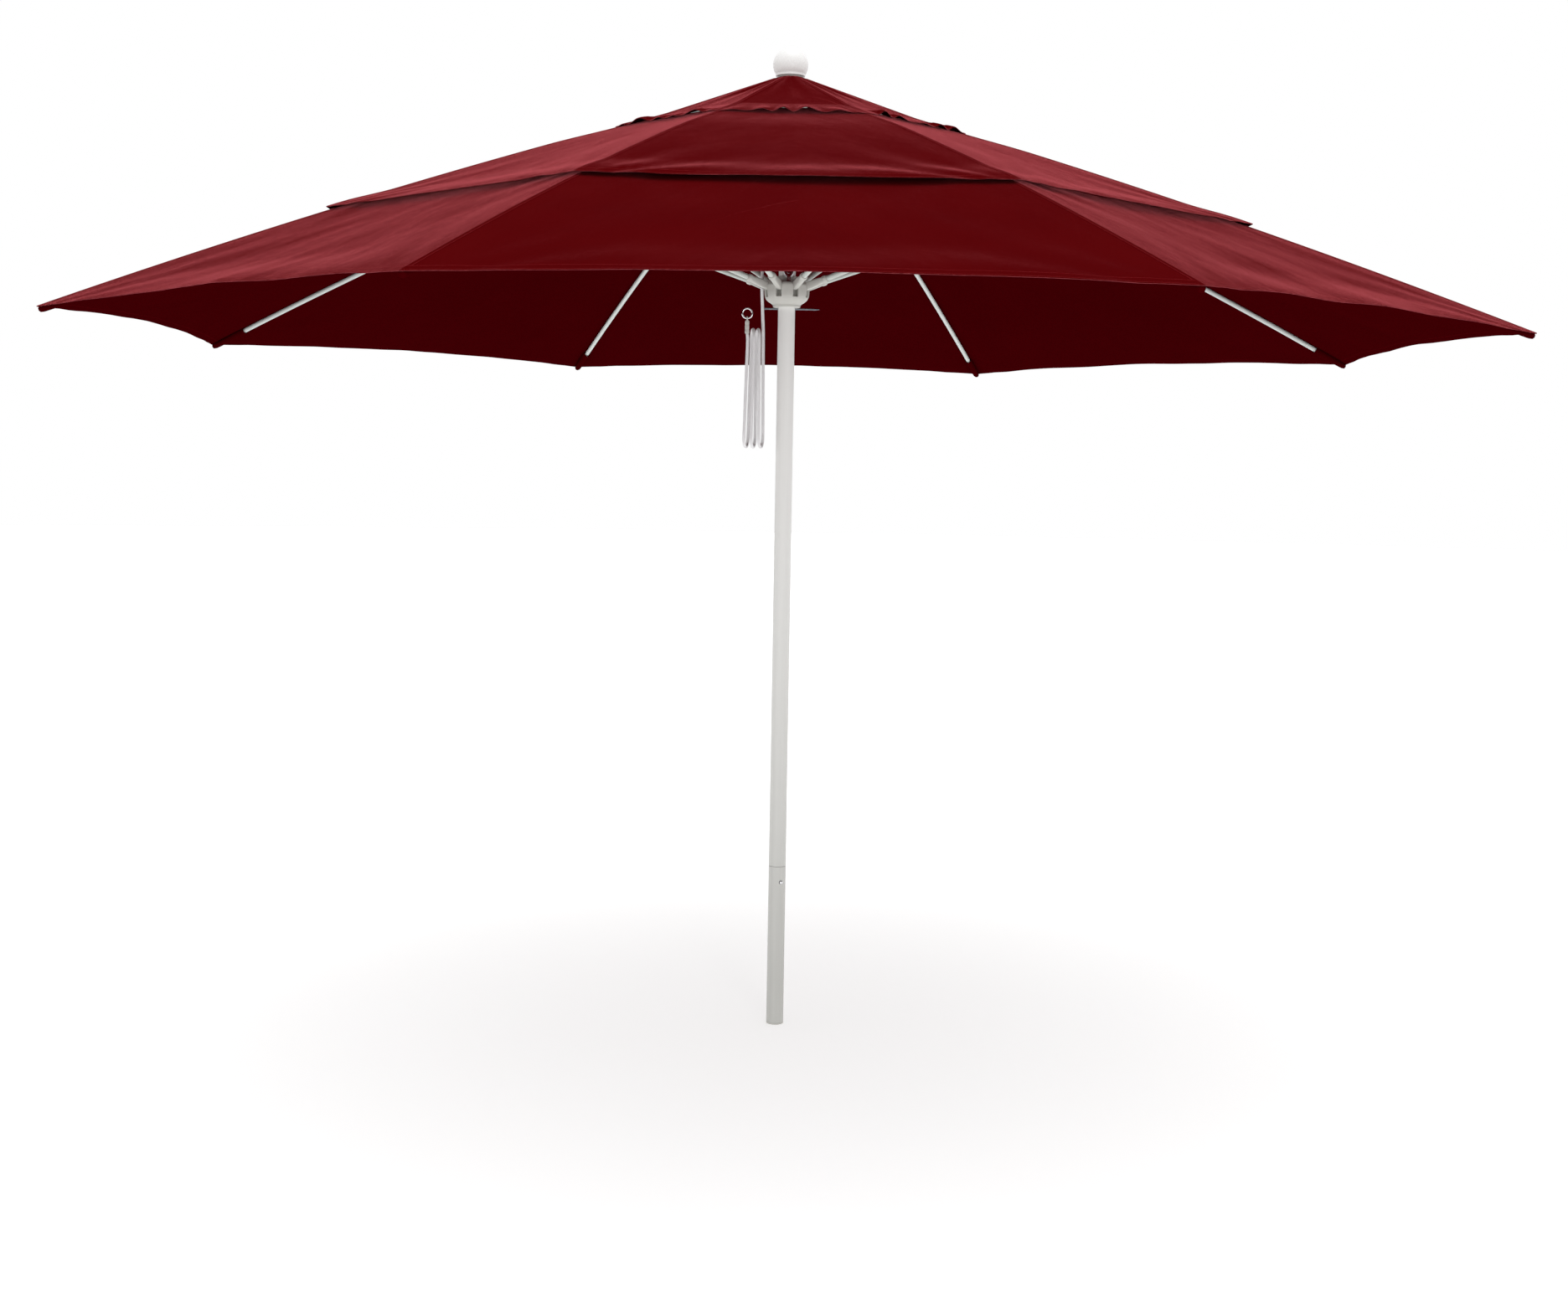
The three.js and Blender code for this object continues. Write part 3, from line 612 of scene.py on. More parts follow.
# ---- the running part of the rope: crown, round the runner's sheave, over the crown's sheave and down ----
SHEAVE_UP = np.array((-6.5, -29.0, 1985.0))
SHEAVE_DOWN = np.array((-56.0, 0.0, 1985.0))
SHEAVE_CENTRE = (SHEAVE_UP + SHEAVE_DOWN) / 2
SHEAVE_WAY = (SHEAVE_DOWN - SHEAVE_UP)[:2]
CROWN_ROPE_R = float(np.linalg.norm(SHEAVE_WAY)) / 2
RUNNER_SHEAVE = (3, -29, 1683)
RUNNER_ROPE_R = 9.5
ROPE_ANCHOR = (12.5, -29, 2061.5)
run = [ROPE_ANCHOR]
run += straight(np.array(ROPE_ANCHOR), np.array((12.5, -29, 1683)), 40)
run += arc(RUNNER_SHEAVE, (1, 0), RUNNER_ROPE_R, 0, -math.pi, 14)
run += straight(np.array((-6.5, -29, 1683)), SHEAVE_UP, 32)
run += arc(SHEAVE_CENTRE, SHEAVE_WAY, CROWN_ROPE_R, math.pi, 0, 20)
run += straight(SHEAVE_DOWN, np.array(TAIL_TOP), 36)
run += [TAIL_TOP]
rope_run = piece("rope_running_part", Shape().loft(sweep(np.array(run) * MM, ROPE_R * MM, 14)), [ROPE],
                 replaces=["lift_rope_run"], sharp=0)
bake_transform(rope_run)


# ---- canopy ----
RIB_LEAN = (0.3438, 0.9391)  # the way square to the rib's chord: outwards, and up


def rib_height(reach):
    """Height of the rib's axis at a reach from the pole's axis."""
    share = (reach - HINGE_R) / (RIB_TIP[0] - HINGE_R)
    return CROWN_Z + (RIB_TIP[1] - CROWN_Z) * share + 4 * RIB_BOW * share * (1 - share) / RIB_LEAN[1]


SAG = 0.003
INNER_SAG = 0.006
CLOTH_THICK = 1.2
HEM = 22
OVER_RIB = 6.8  # the lower tier's underside over the rib's axis
CAP_OVER_RIB = 9
CAP_INNER = 27
CAP_CONE_END = 300  # out to here the cap is a plain cone from the finial's washer
CAP_TOP_Z = 2120.2


class Tier:
    """One storey of the canopy: its outline, its mesh and its cut size."""

    def __init__(self, name, inner, outer, scallop, rows, columns, flat, area, folded):
        self.name, self.inner, self.outer, self.scallop = name, inner, outer, scallop
        self.rows, self.columns, self.flat, self.area = rows, columns, flat, area
        self.folded = folded

    def height(self, reach):
        """Height of its underside along the rib."""
        if self.name == "lower":
            return rib_height(reach) + OVER_RIB
        if self.name == "middle":
            vent = 3 * smoothstep(400, 560, reach)
            hem = 6 * smoothstep(880, 1000, reach)
            return rib_height(reach) + OVER_RIB + vent + hem
        share = np.clip((reach - CAP_INNER) / (CAP_CONE_END - CAP_INNER), 0, 1)
        cone = CAP_TOP_Z + (rib_height(CAP_CONE_END) + CAP_OVER_RIB - CAP_TOP_Z) * share
        return np.where(reach >= CAP_CONE_END, rib_height(reach) + CAP_OVER_RIB, cone)

    def reaches(self):
        """Reach of each row along the rib, closer together at the hem's two lines of sewing."""
        main = np.linspace(self.inner, self.outer - HEM - 2, self.rows)
        return np.concatenate([main, self.outer - np.array([HEM, HEM - 1.5, 15, 8, 2.5, 0.8, 0])])


# flat: hem width and cut length of half a gore; area: its cut area, in metres;
# folded: the share of its width that is left when the umbrella is closed
LOWER = Tier("lower", 930, 1570, 0.021, 34, 26, (0.602, 0.64), 0.290, 0.101)
MIDDLE = Tier("middle", 330, 1024, 0.002, 36, 22, (0.393, 0.69), 0.177, 0.145)
CAP = Tier("cap", CAP_INNER, 410, 0.002, 26, 30, (0.158, 0.38), 0.032, 0.20)
TIERS = (LOWER, MIDDLE, CAP)
random_waves = np.random.default_rng(11)
GORE_PHASE = random_waves.uniform(0, 2 * math.pi, (RIBS, 3, 8))


def swell(x, y, wavelength, seed, stretch=1.0, count=7):
    """A sum of long waves in random directions, from about -1 to 1; x and y in millimetres."""
    chance = np.random.default_rng(seed)
    total = 0
    for _ in range(count):
        way = chance.uniform(0, math.pi)
        pitch = wavelength * chance.uniform(0.7, 1.5)
        phase = chance.uniform(0, 2 * math.pi)
        along = x * math.cos(way) * stretch + y * math.sin(way)
        total = total + np.sin(2 * math.pi * along / pitch + phase)
    return total / math.sqrt(count) / 1.4


def drape(tier, gore, q, reach, edge):
    """Height of the creases and ripples, in millimetres; q runs from 0 at one rib to 1 at the next."""
    phase = GORE_PHASE[gore][TIERS.index(tier)]
    v = 2 * np.minimum(q, 1 - q)
    off = v * math.sin(HALF_GORE) * reach
    near = q < 0.5
    taut = np.sin(math.pi * np.clip(q, 0, 1)) ** 1.2
    along = (reach * math.cos(HALF_GORE)) + 131 * gore
    over = (q - 0.5) * 2 * math.sin(HALF_GORE) * reach + 700 * gore
    wide = swell(along, over, 420, 3 + TIERS.index(tier)) * 2.2 * taut
    inside = smoothstep(0, 0.3, (edge - reach) / (edge - tier.inner))
    wide = wide - INNER_SAG * reach * inside * taut
    fine = swell(along, over, 95, 23, 0.45) * 0.35 * taut
    pull = tier.outer - reach + 70
    angle = np.arctan2(off, pull)
    far = np.hypot(off, pull)
    side = np.where(near, phase[0], phase[1])
    fade = smoothstep(0.02, 0.22, v) * (1 - smoothstep(0.45, 0.98, v))
    size = 0.34 * tier.outer
    corner = 0.8 * np.sin(angle * 13 + side) * np.exp(-((far - 0.35 * size) / size) ** 2) * fade
    if tier is LOWER:
        wide = wide + 5 * np.sin(math.pi * q) * smoothstep(1330, 1570, reach)
        top = np.arctan2(off, reach - 900)
        upper = 0.9 * np.sin(top * 11 + side * 2) * np.exp(-((reach - 960) / 200) ** 2) * fade
        return wide + fine + corner + upper
    if tier is MIDDLE:
        lift = 1.5 * np.sin(math.pi * q) * smoothstep(830, 1024, reach)
        return wide * 0.7 + fine + 1.3 * corner + lift
    rim = q * 2 * math.sin(HALF_GORE) * edge
    wander = 0.9 * np.sin(2 * math.pi * rim / 170 + phase[2])
    wave = np.sin(2 * math.pi * rim / (58 + 4 * math.sin(phase[3])) + phase[4] + wander)
    swing = 3.4 + 1.9 * np.sin(2 * math.pi * rim / 240 + phase[5])
    pinned = smoothstep(0, 0.3, v)
    ripple = swing * (0.9 + wave) * pinned * np.exp(-(((edge - reach) / 42) ** 2))
    lift = 2.5 * pinned * smoothstep(280, 410, reach)
    folds = 2.2 * np.sin(q * 2 * math.pi * 2 + phase[6]) * taut * np.exp(-(((reach - 130) / 90) ** 2))
    return wide * 0.3 + fine * 0.6 + ripple + lift + folds


def half_surface(tier, rib, side, v, share):
    """Underside of half a gore in its rib's plane, in millimetres."""
    bend = 1 - (1 - np.abs(v)) ** 2
    edge = tier.outer * (1 - tier.scallop * bend)
    reach = tier.inner + (edge - tier.inner) * share
    x = reach * (1 - v * math.sin(HALF_GORE) ** 2)
    y = side * v * reach * math.sin(HALF_GORE) * math.cos(HALF_GORE)
    gore = (rib if side > 0 else rib - 1) % RIBS
    q = v / 2 if side > 0 else 1 - v / 2
    z = tier.height(reach) - SAG * reach * bend + drape(tier, gore, q, reach, edge)
    return np.stack([x, y, z], axis=-1), reach, edge


def half_gore(tier, rib, side):
    """Half a gore of one tier: a sewn sheet from the rib to the middle of the gore."""
    rows = tier.reaches()
    shares = (rows - tier.inner) / (tier.outer - tier.inner)
    columns = np.linspace(0, 1, tier.columns + 1)
    v, share = np.meshgrid(columns, shares)
    under, reach, edge = half_surface(tier, rib, side, v, share)

    def spot(v, share):
        return half_surface(tier, rib, side, v, share)[0]

    step = 1e-3
    by_v = spot(v + step, share) - spot(np.maximum(v - step, 0), share)
    by_share = spot(v, share + step) - spot(v, share - step)
    normal = np.cross(by_share, by_v) * side
    normal /= np.linalg.norm(normal, axis=-1)[..., None]
    from_edge = (1 - share) * (edge - tier.inner)
    doubled = (from_edge < HEM - 0.5) & (from_edge > 0.4)
    top = under + normal * (CLOTH_THICK + 0.7 * doubled)[..., None]
    low = under - normal * (0.5 * doubled)[..., None]
    azimuth = AZIMUTHS[rib]
    turn = np.array([[math.sin(azimuth), -math.cos(azimuth), 0],
                     [math.cos(azimuth), math.sin(azimuth), 0],
                     [0, 0, 1]])
    height, width = v.shape
    points = np.concatenate([top.reshape(-1, 3), low.reshape(-1, 3)]) @ turn * MM
    normals = np.concatenate([normal.reshape(-1, 3), -normal.reshape(-1, 3)]) @ turn
    off_centre = (v * math.sin(HALF_GORE) * reach * side * MM).ravel()
    ahead = (reach * math.cos(HALF_GORE) * MM).ravel()
    metres = np.stack([off_centre + 0.37 * rib, ahead], axis=1)
    hem = np.stack([(from_edge * MM).ravel(), off_centre + 1.0], axis=1)
    layer = height * width
    faces, finishes = [], []

    def quad(a, b, c, d, finish):
        faces.append((a, b, c, d) if side > 0 else (d, c, b, a))
        finishes.append(finish)

    for i in range(height - 1):
        for j in range(width - 1):
            a = i * width + j
            quad(a, a + width, a + width + 1, a + 1, 0)
            quad(layer + a, layer + a + 1, layer + a + width + 1, layer + a + width, 1)
        a, b = i * width, i * width + width - 1
        quad(a, layer + a, layer + a + width, a + width, 1)
        quad(b, b + width, layer + b + width, layer + b, 1)
    for j in range(width - 1):
        a, b = j, (height - 1) * width + j
        quad(a, a + 1, layer + a + 1, layer + a, 1)
        quad(b, layer + b, layer + b + 1, b + 1, 0)
    name = f"canopy_{tier.name}_{rib + 1}_{'right' if side > 0 else 'left'}"
    mesh = bpy.data.meshes.new(name)
    mesh.from_pydata(points.tolist(), [], faces)
    corners = np.zeros(len(mesh.loops), np.int64)
    mesh.loops.foreach_get("vertex_index", corners)
    for label, values in (("metres", metres), ("hem", hem)):
        values = np.concatenate([values, values]).astype(np.float32)
        mesh.uv_layers.new(name=label).data.foreach_set("uv", values[corners].ravel())
    mesh.materials.append(CLOTH_TOP)
    # the underside and the sheet's edges take the painted-shade cloth
    mesh.materials.append(CLOTH_PAINTED_SHADE)
    mesh.polygons.foreach_set("material_index", finishes)
    mesh.polygons.foreach_set("use_smooth", [True] * len(mesh.polygons))
    mesh.update()
    mesh.normals_split_custom_set_from_vertices(normals.tolist())
    obj = bpy.data.objects.new(name, mesh)
    scene.collection.objects.link(obj)
    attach(obj, f"rib_{rib + 1}")
    return obj


TAPE_HALF = 7.6


def seam_tape(shape, tier, rib, first, last):
    """The felled seam that joins two gores along a rib: a narrow band over the ridge."""
    azimuth = AZIMUTHS[rib]
    reaches = np.linspace(first, last, max(int((last - first) / 22), 3) + 1)
    offsets = np.array([-1, -0.93, -0.6, -0.3, 0, 0.3, 0.6, 0.93, 1]) * TAPE_HALF
    rise = np.array([0.1, 0.75, 0.85, 0.75, 1.0, 0.75, 0.85, 0.75, 0.1])
    rings = []
    for reach in reaches:
        half = np.minimum(TAPE_HALF, 0.6 * reach * math.sin(HALF_GORE) * math.cos(HALF_GORE)) / TAPE_HALF
        ring = []
        for layer, order in ((rise, range(9)), (np.full(9, -0.6), range(8, -1, -1))):
            for k in order:
                y = offsets[k] * half
                v = abs(y) / (reach * math.sin(HALF_GORE) * math.cos(HALF_GORE))
                bend = 1 - (1 - v) ** 2
                z = float(tier.height(reach)) - SAG * reach * bend + CLOTH_THICK + layer[k]
                ring.append(turned_to(azimuth, reach * (1 - v * math.sin(HALF_GORE) ** 2), y, z))
        rings.append(ring)
    start = len(shape.uvs)
    shape.loft(rings)
    across = list(offsets) + list(offsets[::-1])
    sides = len(across)
    for row in range(len(rings) - 1):
        for j in range(sides):
            k = (j + 1) % sides
            near, far = reaches[row] * MM, reaches[row + 1] * MM
            a, b = across[j] * MM, across[k] * MM
            shape.uvs[start + row * sides + j] = [(a, near), (b, near), (b, far), (a, far)]


def rib_point(share, lift=0.0):
    """A point of the rib's axis, in millimetres, raised square to the rib's chord."""
    bow = 4 * RIB_BOW * share * (1 - share) + lift
    return (
        HINGE_R + (RIB_TIP[0] - HINGE_R) * share + RIB_LEAN[0] * bow,
        CROWN_Z + (RIB_TIP[1] - CROWN_Z) * share + RIB_LEAN[1] * bow,
    )


POCKET_TOP = 5.9  # flattened here, to stay under the cloth
POCKET_SIDES = 20


def pocket(shape, rib):
    """The sewn pocket that holds the rib's end: a soft tube, open towards the pole."""
    azimuth = AZIMUTHS[rib]
    # share of the rib, half width, half height
    outline = [(0.940, 7.3, 7.3), (0.9385, 8.6, 8.2), (0.9405, 9.6, 8.6), (0.955, 9.9, 8.7),
               (0.975, 9.2, 8.5), (0.99, 8.6, 8.2), (0.999, 8.2, 7.6), (1.003, 6.0, 5.8), (1.0045, 2.0, 2.4)]
    inner = [(0.962, 6.9, 6.9), (0.950, 7.0, 7.0)]
    rings = []
    for share, half_width, half_height in inner + outline:
        x, z = rib_point(share)
        ring = []
        for k in range(POCKET_SIDES):
            a = 2 * math.pi * k / POCKET_SIDES
            wobble = 1 + 0.03 * math.sin(3 * a + 40 * share + rib)
            y = half_width * wobble * math.cos(a)
            h = min(half_height * wobble * math.sin(a), POCKET_TOP)
            ring.append(turned_to(azimuth, x + RIB_LEAN[0] * h, y, z + RIB_LEAN[1] * h))
        rings.append(ring)
    shape.loft(rings, finish=1)


# across half a gore, from its rib to the gore's middle, in the rib's own axes
SEAM_ENDS = ((LOWER, 1010, 1568), (MIDDLE, 402, 1022.5), (CAP, 40, 409))
for rib in range(RIBS):
    trim = Shape()
    for tier, first, last in SEAM_ENDS:
        seam_tape(trim, tier, rib, first, last)
    pocket(trim, rib)
    # finish 1, the pockets, is the painted-shade cloth
    trim_piece = piece(f"canopy_trim_{rib + 1}", trim, [CLOTH_TRIM, CLOTH_PAINTED_SHADE], f"rib_{rib + 1}")
    mesh = trim_piece.data
    hem_layer = mesh.uv_layers.new(name="hem")
    hem_layer.data.foreach_set("uv", np.full(2 * len(mesh.loops), 0.5, np.float32))
    azimuth = AZIMUTHS[rib]
    for side in (1, -1):
        for tier in TIERS:
            sheet = half_gore(tier, rib, side)
            ridge = turned_to(azimuth, tier.outer, 0, float(tier.height(tier.outer)))
            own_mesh(sheet)
            if side > 0 and tier is LOWER:
                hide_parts(f"canopy_sector_{rib + 1}")


# ---- pole and finial ----
def bar_along(start, end, radius, segments=32):
    """Rings of a plain bar, used to cut holes."""
    way = np.array(end, float) - np.array(start, float)
    return lathe([(radius, 0), (radius, float(np.linalg.norm(way)))], start, way, segments)


def cutter(start, end, radius):
    return piece("cutter", Shape().loft(bar_along(start, end, radius)), [])


TUBE_BORE_R = 17.25
BUTTON_AT = math.radians(27)
BUTTON_Z = 318
BUTTON_HOLE_R = 4.7
PIN_HOLE_R = 2.6
PIN_HOLES_Z = (1602, 399)
button_way = np.array((math.sin(BUTTON_AT), -math.cos(BUTTON_AT), 0))


def tube_profile(low, high, outer, inner):
    return rounded([(inner, low), (outer, low), (outer, high), (inner, high)], 0.6, 3, loop=True)


def ring_shape(profile, centre=(0, 0, 0), axis=(0, 0, 1), segments=96):
    """A turned body with a hole through it: its profile closes on itself."""
    rings = lathe(profile + [profile[0]], centre, axis, segments)
    shape = Shape().loft(rings, caps=False)
    count = len(rings)
    last = (count - 1) * segments
    shape.faces = [tuple(i - last if i >= last else i for i in face) for face in shape.faces]
    shape.points = shape.points[:last]
    return shape


lower_shape = ring_shape(tube_profile(3.3, 352.6, POLE_R, TUBE_BORE_R))
lower = piece("pole_lower_tube", lower_shape, [POLE_PAINT], "pole", ["pole_lower"])
button_level = (0, 0, BUTTON_Z)
carve(lower, cutter(button_way * 8 + button_level, button_way * 30 + button_level, BUTTON_HOLE_R))
soften(lower, 0.35, 2)
upper_shape = ring_shape(tube_profile(353.2, 2092, POLE_R, TUBE_BORE_R))
upper = piece("pole_upper_tube", upper_shape, [POLE_PAINT], "pole", ["pole_upper"])
for height in PIN_HOLES_Z:
    carve(upper, cutter((-40, 0, height), (40, 0, height), PIN_HOLE_R))
soften(upper, 0.3, 2)

BALL_R = 39.5
BALL_Z = 2150
ball = [(0.5, 2146), (4.4, 2146), (4.4, 2124), (32.0, 2124), (33.0, 2124.6), (33.3, 2127), (33.6, 2129.5),
        (34.6, 2131), (35.6, 2132.8)]
for turn in range(-22, 90, 3):
    angle = math.radians(turn)
    ball.append((BALL_R * math.cos(angle), BALL_Z + BALL_R * math.sin(angle)))
ball += [(0.01, 2189.5)]
piece("finial", Shape().loft(lathe(ball, segments=72)), [PLASTIC_GLOSS], "pole",
      ["finial_ball"], sharp=28)


# ---- hubs ----
def wedge_cutter(low, high, inner, outer, width, azimuth):
    """A box through a hub's rim where a rib or a strut is hinged."""
    half = width / 2
    corners = ((-half, low), (half, low), (half, high), (-half, high))
    rings = []
    for x in (inner, outer):
        rings.append([turned_to(azimuth, x, y, z) for y, z in corners])
    return piece("cutter", Shape().loft(rings), [])


SLOT_INNER = 34
SLOT_OUTER = 60
SLOT_WIDTH = 13


def hub(name, profile, slot_low, slot_high, node, body):
    """A moulded hub with a slot for each rib or strut."""
    made = piece(name, ring_shape(profile), [PLASTIC], body, [node])
    for azimuth in AZIMUTHS:
        carve(made, wedge_cutter(slot_low, slot_high, SLOT_INNER, SLOT_OUTER, SLOT_WIDTH, azimuth))
    return made


bore = POLE_R + 0.55
runner_profile = rounded(
    [(bore, 1605.5), (29.6, 1605.5), (31, 1607), (31.2, 1610.5), (34, 1613), (40.5, 1617), (46, 1622),
     (49.3, 1629), (50.4, 1637), (50.6, 1654), (47.5, 1659.5), (38, 1661.4), (27, 1662.6), (24.4, 1665),
     (24.2, 1673.5), (23, 1675), (bore, 1675)], 2.2, 4, loop=True)
runner = hub("runner_body", runner_profile, 1627, 1690, "runner_hub", "runner")
seat = Shape().loft([[(x * MM, y * MM, z * MM) for x, y in ((-9, -45), (15, -45), (15, -20.2), (-9, -20.2))]
                     for z in (1662.4, 1690)])
carve(runner, piece("cutter", seat, []))
soften(runner, 0.9, 3)

crown_profile = rounded(
    [(bore, 2030), (23.6, 2030), (24, 2031), (24, 2060), (27, 2063), (45, 2067.5), (50, 2072), (50.3, 2075),
     (50.3, 2099), (46.5, 2104.5), (21, 2107), (6, 2107), (6, 2093), (bore, 2092.6)], 2.0, 3, loop=True)
crown = hub("crown_body", crown_profile, 2064, 2120, "crown_hub", "pole")
soften(crown, 0.9, 3)

# the plate that carries the crown's sheave
HANGER_HALF = 15
HANGER_TOP = 2069
HANGER_FROM_POLE = 22.3
# across the plate, and how far its edge is drawn in there
HANGER_STEPS = ((-1.1, 0.6), (-0.9, 0.2), (-0.5, 0), (0.5, 0), (0.9, 0.2), (1.1, 0.6))
sheave_axis = np.array((SHEAVE_WAY[1], -SHEAVE_WAY[0], 0)) / np.linalg.norm(SHEAVE_WAY)
sheave_across = np.array((*SHEAVE_WAY, 0)) / np.linalg.norm(SHEAVE_WAY)
hanger_centre = sheave_across * float(np.dot(sheave_across, SHEAVE_CENTRE)) - sheave_axis * HANGER_FROM_POLE


def hanger_ring(offset, inset):
    """Outline of the plate: straight sides and a half round under the sheave's axle."""
    half = HANGER_HALF - inset
    turn = np.linspace(-math.pi, 0, 25)
    outline = [(-half, HANGER_TOP - inset)]
    outline += [(half * math.cos(a), SHEAVE_CENTRE[2] + half * math.sin(a)) for a in turn]
    outline += [(half, HANGER_TOP - inset)]
    middle = hanger_centre + sheave_axis * offset
    return [tuple((middle + sheave_across * u + (0, 0, z)) * MM) for u, z in outline]


hanger = Shape().loft([hanger_ring(*step) for step in HANGER_STEPS])
piece("crown_hanger", hanger, [PLASTIC], "pole")


# ---- struts and ribs ----
strut_way = np.array((BRACKET_PIN[0] - HINGE_R, BRACKET_PIN[1] - RUNNER_Z)) / STRUT_LENGTH
strut_up = np.array((-strut_way[1], strut_way[0]))


def along_strut(azimuth, along, across, over):
    x, z = np.array((HINGE_R, RUNNER_Z)) + strut_way * along + strut_up * over
    return turned_to(azimuth, x, across, z)


def along_rib(azimuth, share):
    """A point of a rib's axis in the part's frame."""
    x, z = rib_point(share)
    return turned_to(azimuth, x, 0, z)


def soft_box(half_width, half_height, power, count=32):
    """A rounded rectangle, from its half sizes."""
    out = []
    for k in range(count):
        a = 2 * math.pi * k / count
        c, s = math.cos(a), math.sin(a)
        out.append((half_width * math.copysign(abs(c) ** (2 / power), c),
                    half_height * math.copysign(abs(s) ** (2 / power), s)))
    return out


# along the strut, half width, half height, squareness
SOCKET = [(-8.8, 4.6, 3.2, 3.0), (-8.2, 5.6, 5.0, 3.6), (-6, 6.0, 7.0, 4.2), (-3, 6.15, 8.5, 4.6),
          (0, 6.2, 9.0, 4.8), (12, 6.2, 9.0, 4.8), (24, 6.2, 8.7, 4.2), (36, 6.5, 8.0, 3.2),
          (44, 6.9, 7.2, 2.4), (45, 8.4, 8.4, 2.1), (46.5, 8.9, 8.9, 2.0), (52, 8.9, 8.9, 2.0),
          (54.2, 8.2, 8.2, 2.0), (55, 6.9, 6.9, 2.0), (55.1, 5.9, 5.9, 2.0)]
TONGUE = [(612, 5.9, 5.9, 2.0), (613, 6.8, 6.8, 2.0), (620, 6.9, 6.9, 2.0), (625, 6.4, 6.4, 2.2),
          (630, 4.2, 6.0, 3.2), (634, 3.0, 5.8, 4.4), (650, 2.9, 5.6, 4.6), (653, 2.8, 4.8, 4.2),
          (655, 2.5, 3.2, 3.4), (655.8, 1.6, 1.4, 2.6)]
COLLAR_RADII = np.array([4, 5.6, 6.2, 6.2, 6.2, 6.2, 6.2, 6.2, 6.2, 6.4, 6.9, 6.9, 6.6, 5.6])
for rib, azimuth in enumerate(AZIMUTHS):
    shape = Shape()
    for sections in (SOCKET, TONGUE):
        shape.loft([[along_strut(azimuth, at, y, z) for y, z in soft_box(w, h, power)]
                    for at, w, h, power in sections], finish=1)
    rod = [along_strut(azimuth, at, 0, 0) for at in np.linspace(30, 616, 40)]
    shape.loft(sweep(rod, STRUT_R * MM, 20))
    # the boss round the hinge wire
    for side in (-1, 1):
        centre = np.array(along_strut(azimuth, 0, 5.6 * side, 0)) / MM
        away = np.array((math.cos(azimuth), math.sin(azimuth), 0)) * side
        boss = [(0, 0), (6.2, 0), (6.2, 0.5), (5.6, 0.85), (3.2, 0.9), (2.7, 0.6), (0, 0.6)]
        shape.loft(lathe(boss, centre, away, 28), finish=1)
    node = f"strut_{rib + 1}"
    piece(f"strut_rod_{rib + 1}", shape, [STRUT_ROD, PLASTIC], node, [node], sharp=40)

    shape = Shape()
    shares = np.concatenate([[0.0035, 0.004], np.linspace(0.006, 0.994, 60), [0.9965, 0.998, 0.9985]])
    radii = np.concatenate([[3.0, 5.2], np.full(60, RIB_R), [RIB_R, 4.9, 3.0]])
    line = [along_rib(azimuth, s) for s in shares]
    shape.loft(sweep(line, radii * MM, 20))
    eye_centre = np.array(turned_to(azimuth, HINGE_R, -5.3, CROWN_Z)) / MM
    eye_way = (math.cos(azimuth), math.sin(azimuth), 0)
    eye = rounded([(0, 0), (6.9, 0), (6.9, 10.6), (0, 10.6)], 0.8, 3)
    shape.loft(lathe(eye, eye_centre, eye_way, 36), finish=1)
    collar = [along_rib(azimuth, s) for s in np.linspace(0.003, 0.032, len(COLLAR_RADII))]
    shape.loft(sweep(collar, COLLAR_RADII * MM, 24), finish=1)
    node = f"rib_{rib + 1}"
    piece(f"rib_rod_{rib + 1}", shape, [RIB_ROD, PLASTIC], node, [node], sharp=40)


# ---- sheaves ----
def sheave_profile(rope_r, half_width, hole):
    groove = [(rope_r - 4.1 * math.cos(a), 4.1 * math.sin(a)) for a in np.linspace(-1.35, 1.35, 13)]
    return [(hole, -half_width), (rope_r + 0.6, -half_width), (rope_r + 1, -half_width + 0.3), *groove,
            (rope_r + 1, half_width - 0.3), (rope_r + 0.6, half_width), (hole, half_width)]


crown_sheave_profile = sheave_profile(CROWN_ROPE_R, 4.6, 3.4)
piece("crown_pulley", ring_shape(crown_sheave_profile, tuple(SHEAVE_CENTRE), sheave_axis, 72),
      [PLASTIC], "crown_sheave", ["crown_sheave"], sharp=30)
piece("runner_pulley", ring_shape(sheave_profile(RUNNER_ROPE_R, 4.6, 2.4), RUNNER_SHEAVE, (0, 1, 0), 48),
      [CHROME], "runner_sheave", ["runner_sheave"], sharp=30)

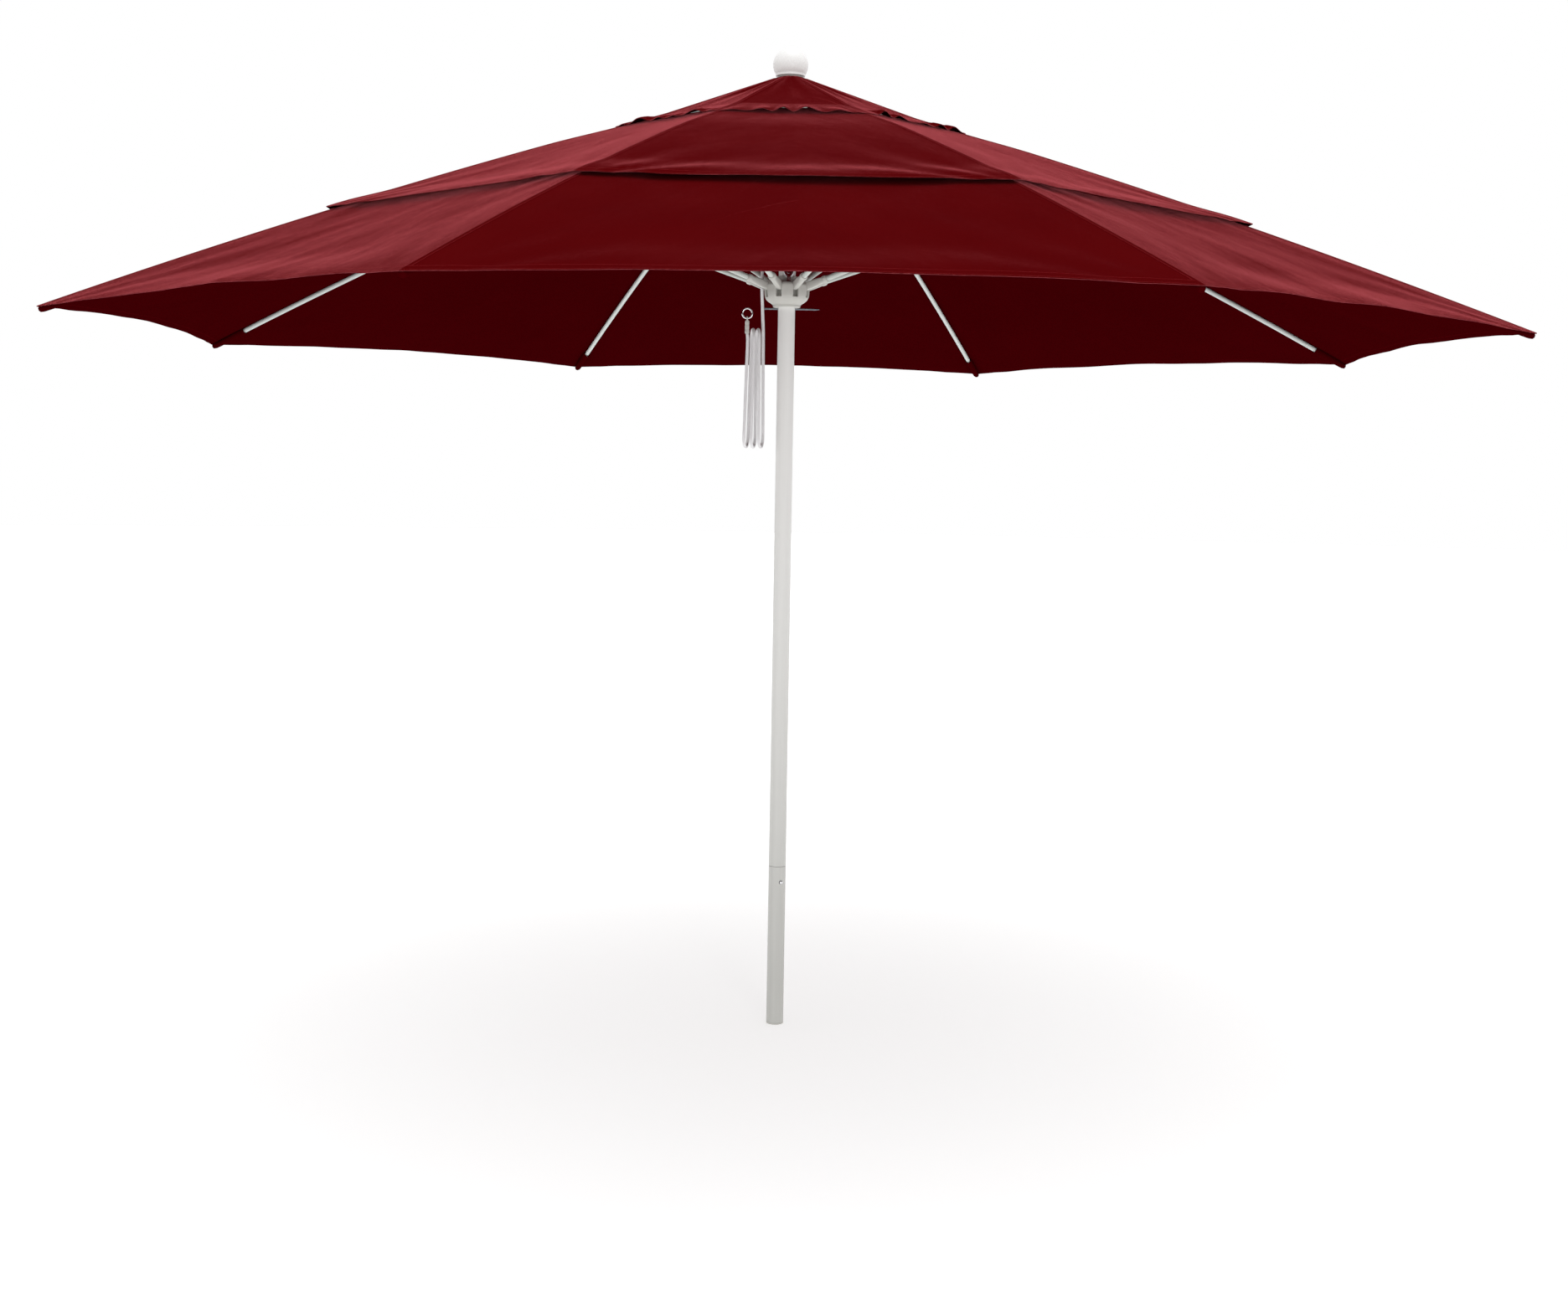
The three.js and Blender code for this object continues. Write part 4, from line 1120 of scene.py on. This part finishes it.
# ---- CAD nodes that keep their own shape ----
NODE_FINISH = {
    "pole_foot_plug": PLASTIC,
    "pole_joint_sleeve": STEEL,
    "crown_hinge_wire": STEEL,
    "crown_sheave_axle": CHROME,
    "finial_stud": STEEL,
    "canopy_washer": PLASTIC,
    "runner_hinge_wire": STEEL,
    "runner_sheave_fork": CHROME,
    "runner_sheave_axle": CHROME,
    "lock_pin": PIN_STEEL,
    "snap_button": CHROME,
}
for rib in range(RIBS):
    NODE_FINISH[f"strut_bracket_{rib + 1}"] = BRACKET
for name, material in NODE_FINISH.items():
    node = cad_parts[name]
    node.data.materials.clear()
    node.data.materials.append(material)
    node.data.polygons.foreach_set("use_smooth", [True] * len(node.data.polygons))
    node.data.set_sharp_from_angle(angle=math.radians(38))

# ---- studio ----
scene.view_settings.view_transform = "Standard"
world = bpy.data.worlds.new("studio")
scene.world = world
world.use_nodes = True
world.node_tree.nodes["Background"].inputs["Color"].default_value = (1, 1, 1, 1)
world.node_tree.nodes["Background"].inputs["Strength"].default_value = 1.0


def softbox(name, at, look, size, power):
    data = bpy.data.lights.new(name, "AREA")
    data.shape = "DISK"
    data.size = size
    data.energy = power
    light = bpy.data.objects.new(name, data)
    scene.collection.objects.link(light)
    light.location = at
    light.rotation_euler = (Vector(look) - Vector(at)).to_track_quat("-Z", "Y").to_euler()


softbox("overhead", (0.4, -0.6, 5.5), (0, 0, 1.8), 3.0, 30)
softbox("front", (1.2, -5.2, 1.5), (0, 0, 1.5), 1.2, 28)

floor_finish = Finish("floor", (0.93, 0.93, 0.93), 0.9)
floor_grain = floor_finish.noise(floor_finish.place(), 1.5, 4.0)
floor_finish.shader.inputs["Emission Color"].default_value = (1, 1, 1, 1)
floor_finish.shader.inputs["Emission Strength"].default_value = 0.35
floor_finish.color(floor_finish.blend(floor_grain, (0.92, 0.92, 0.92), (0.94, 0.94, 0.94)))
floor_rings = [[(r * math.cos(a), r * math.sin(a), z) for a in np.arange(64) * math.pi / 32]
               for r, z in ((30, -0.02), (30, 0), (0.05, 0))]
floor = piece("floor", Shape().loft(floor_rings), [floor_finish.material])
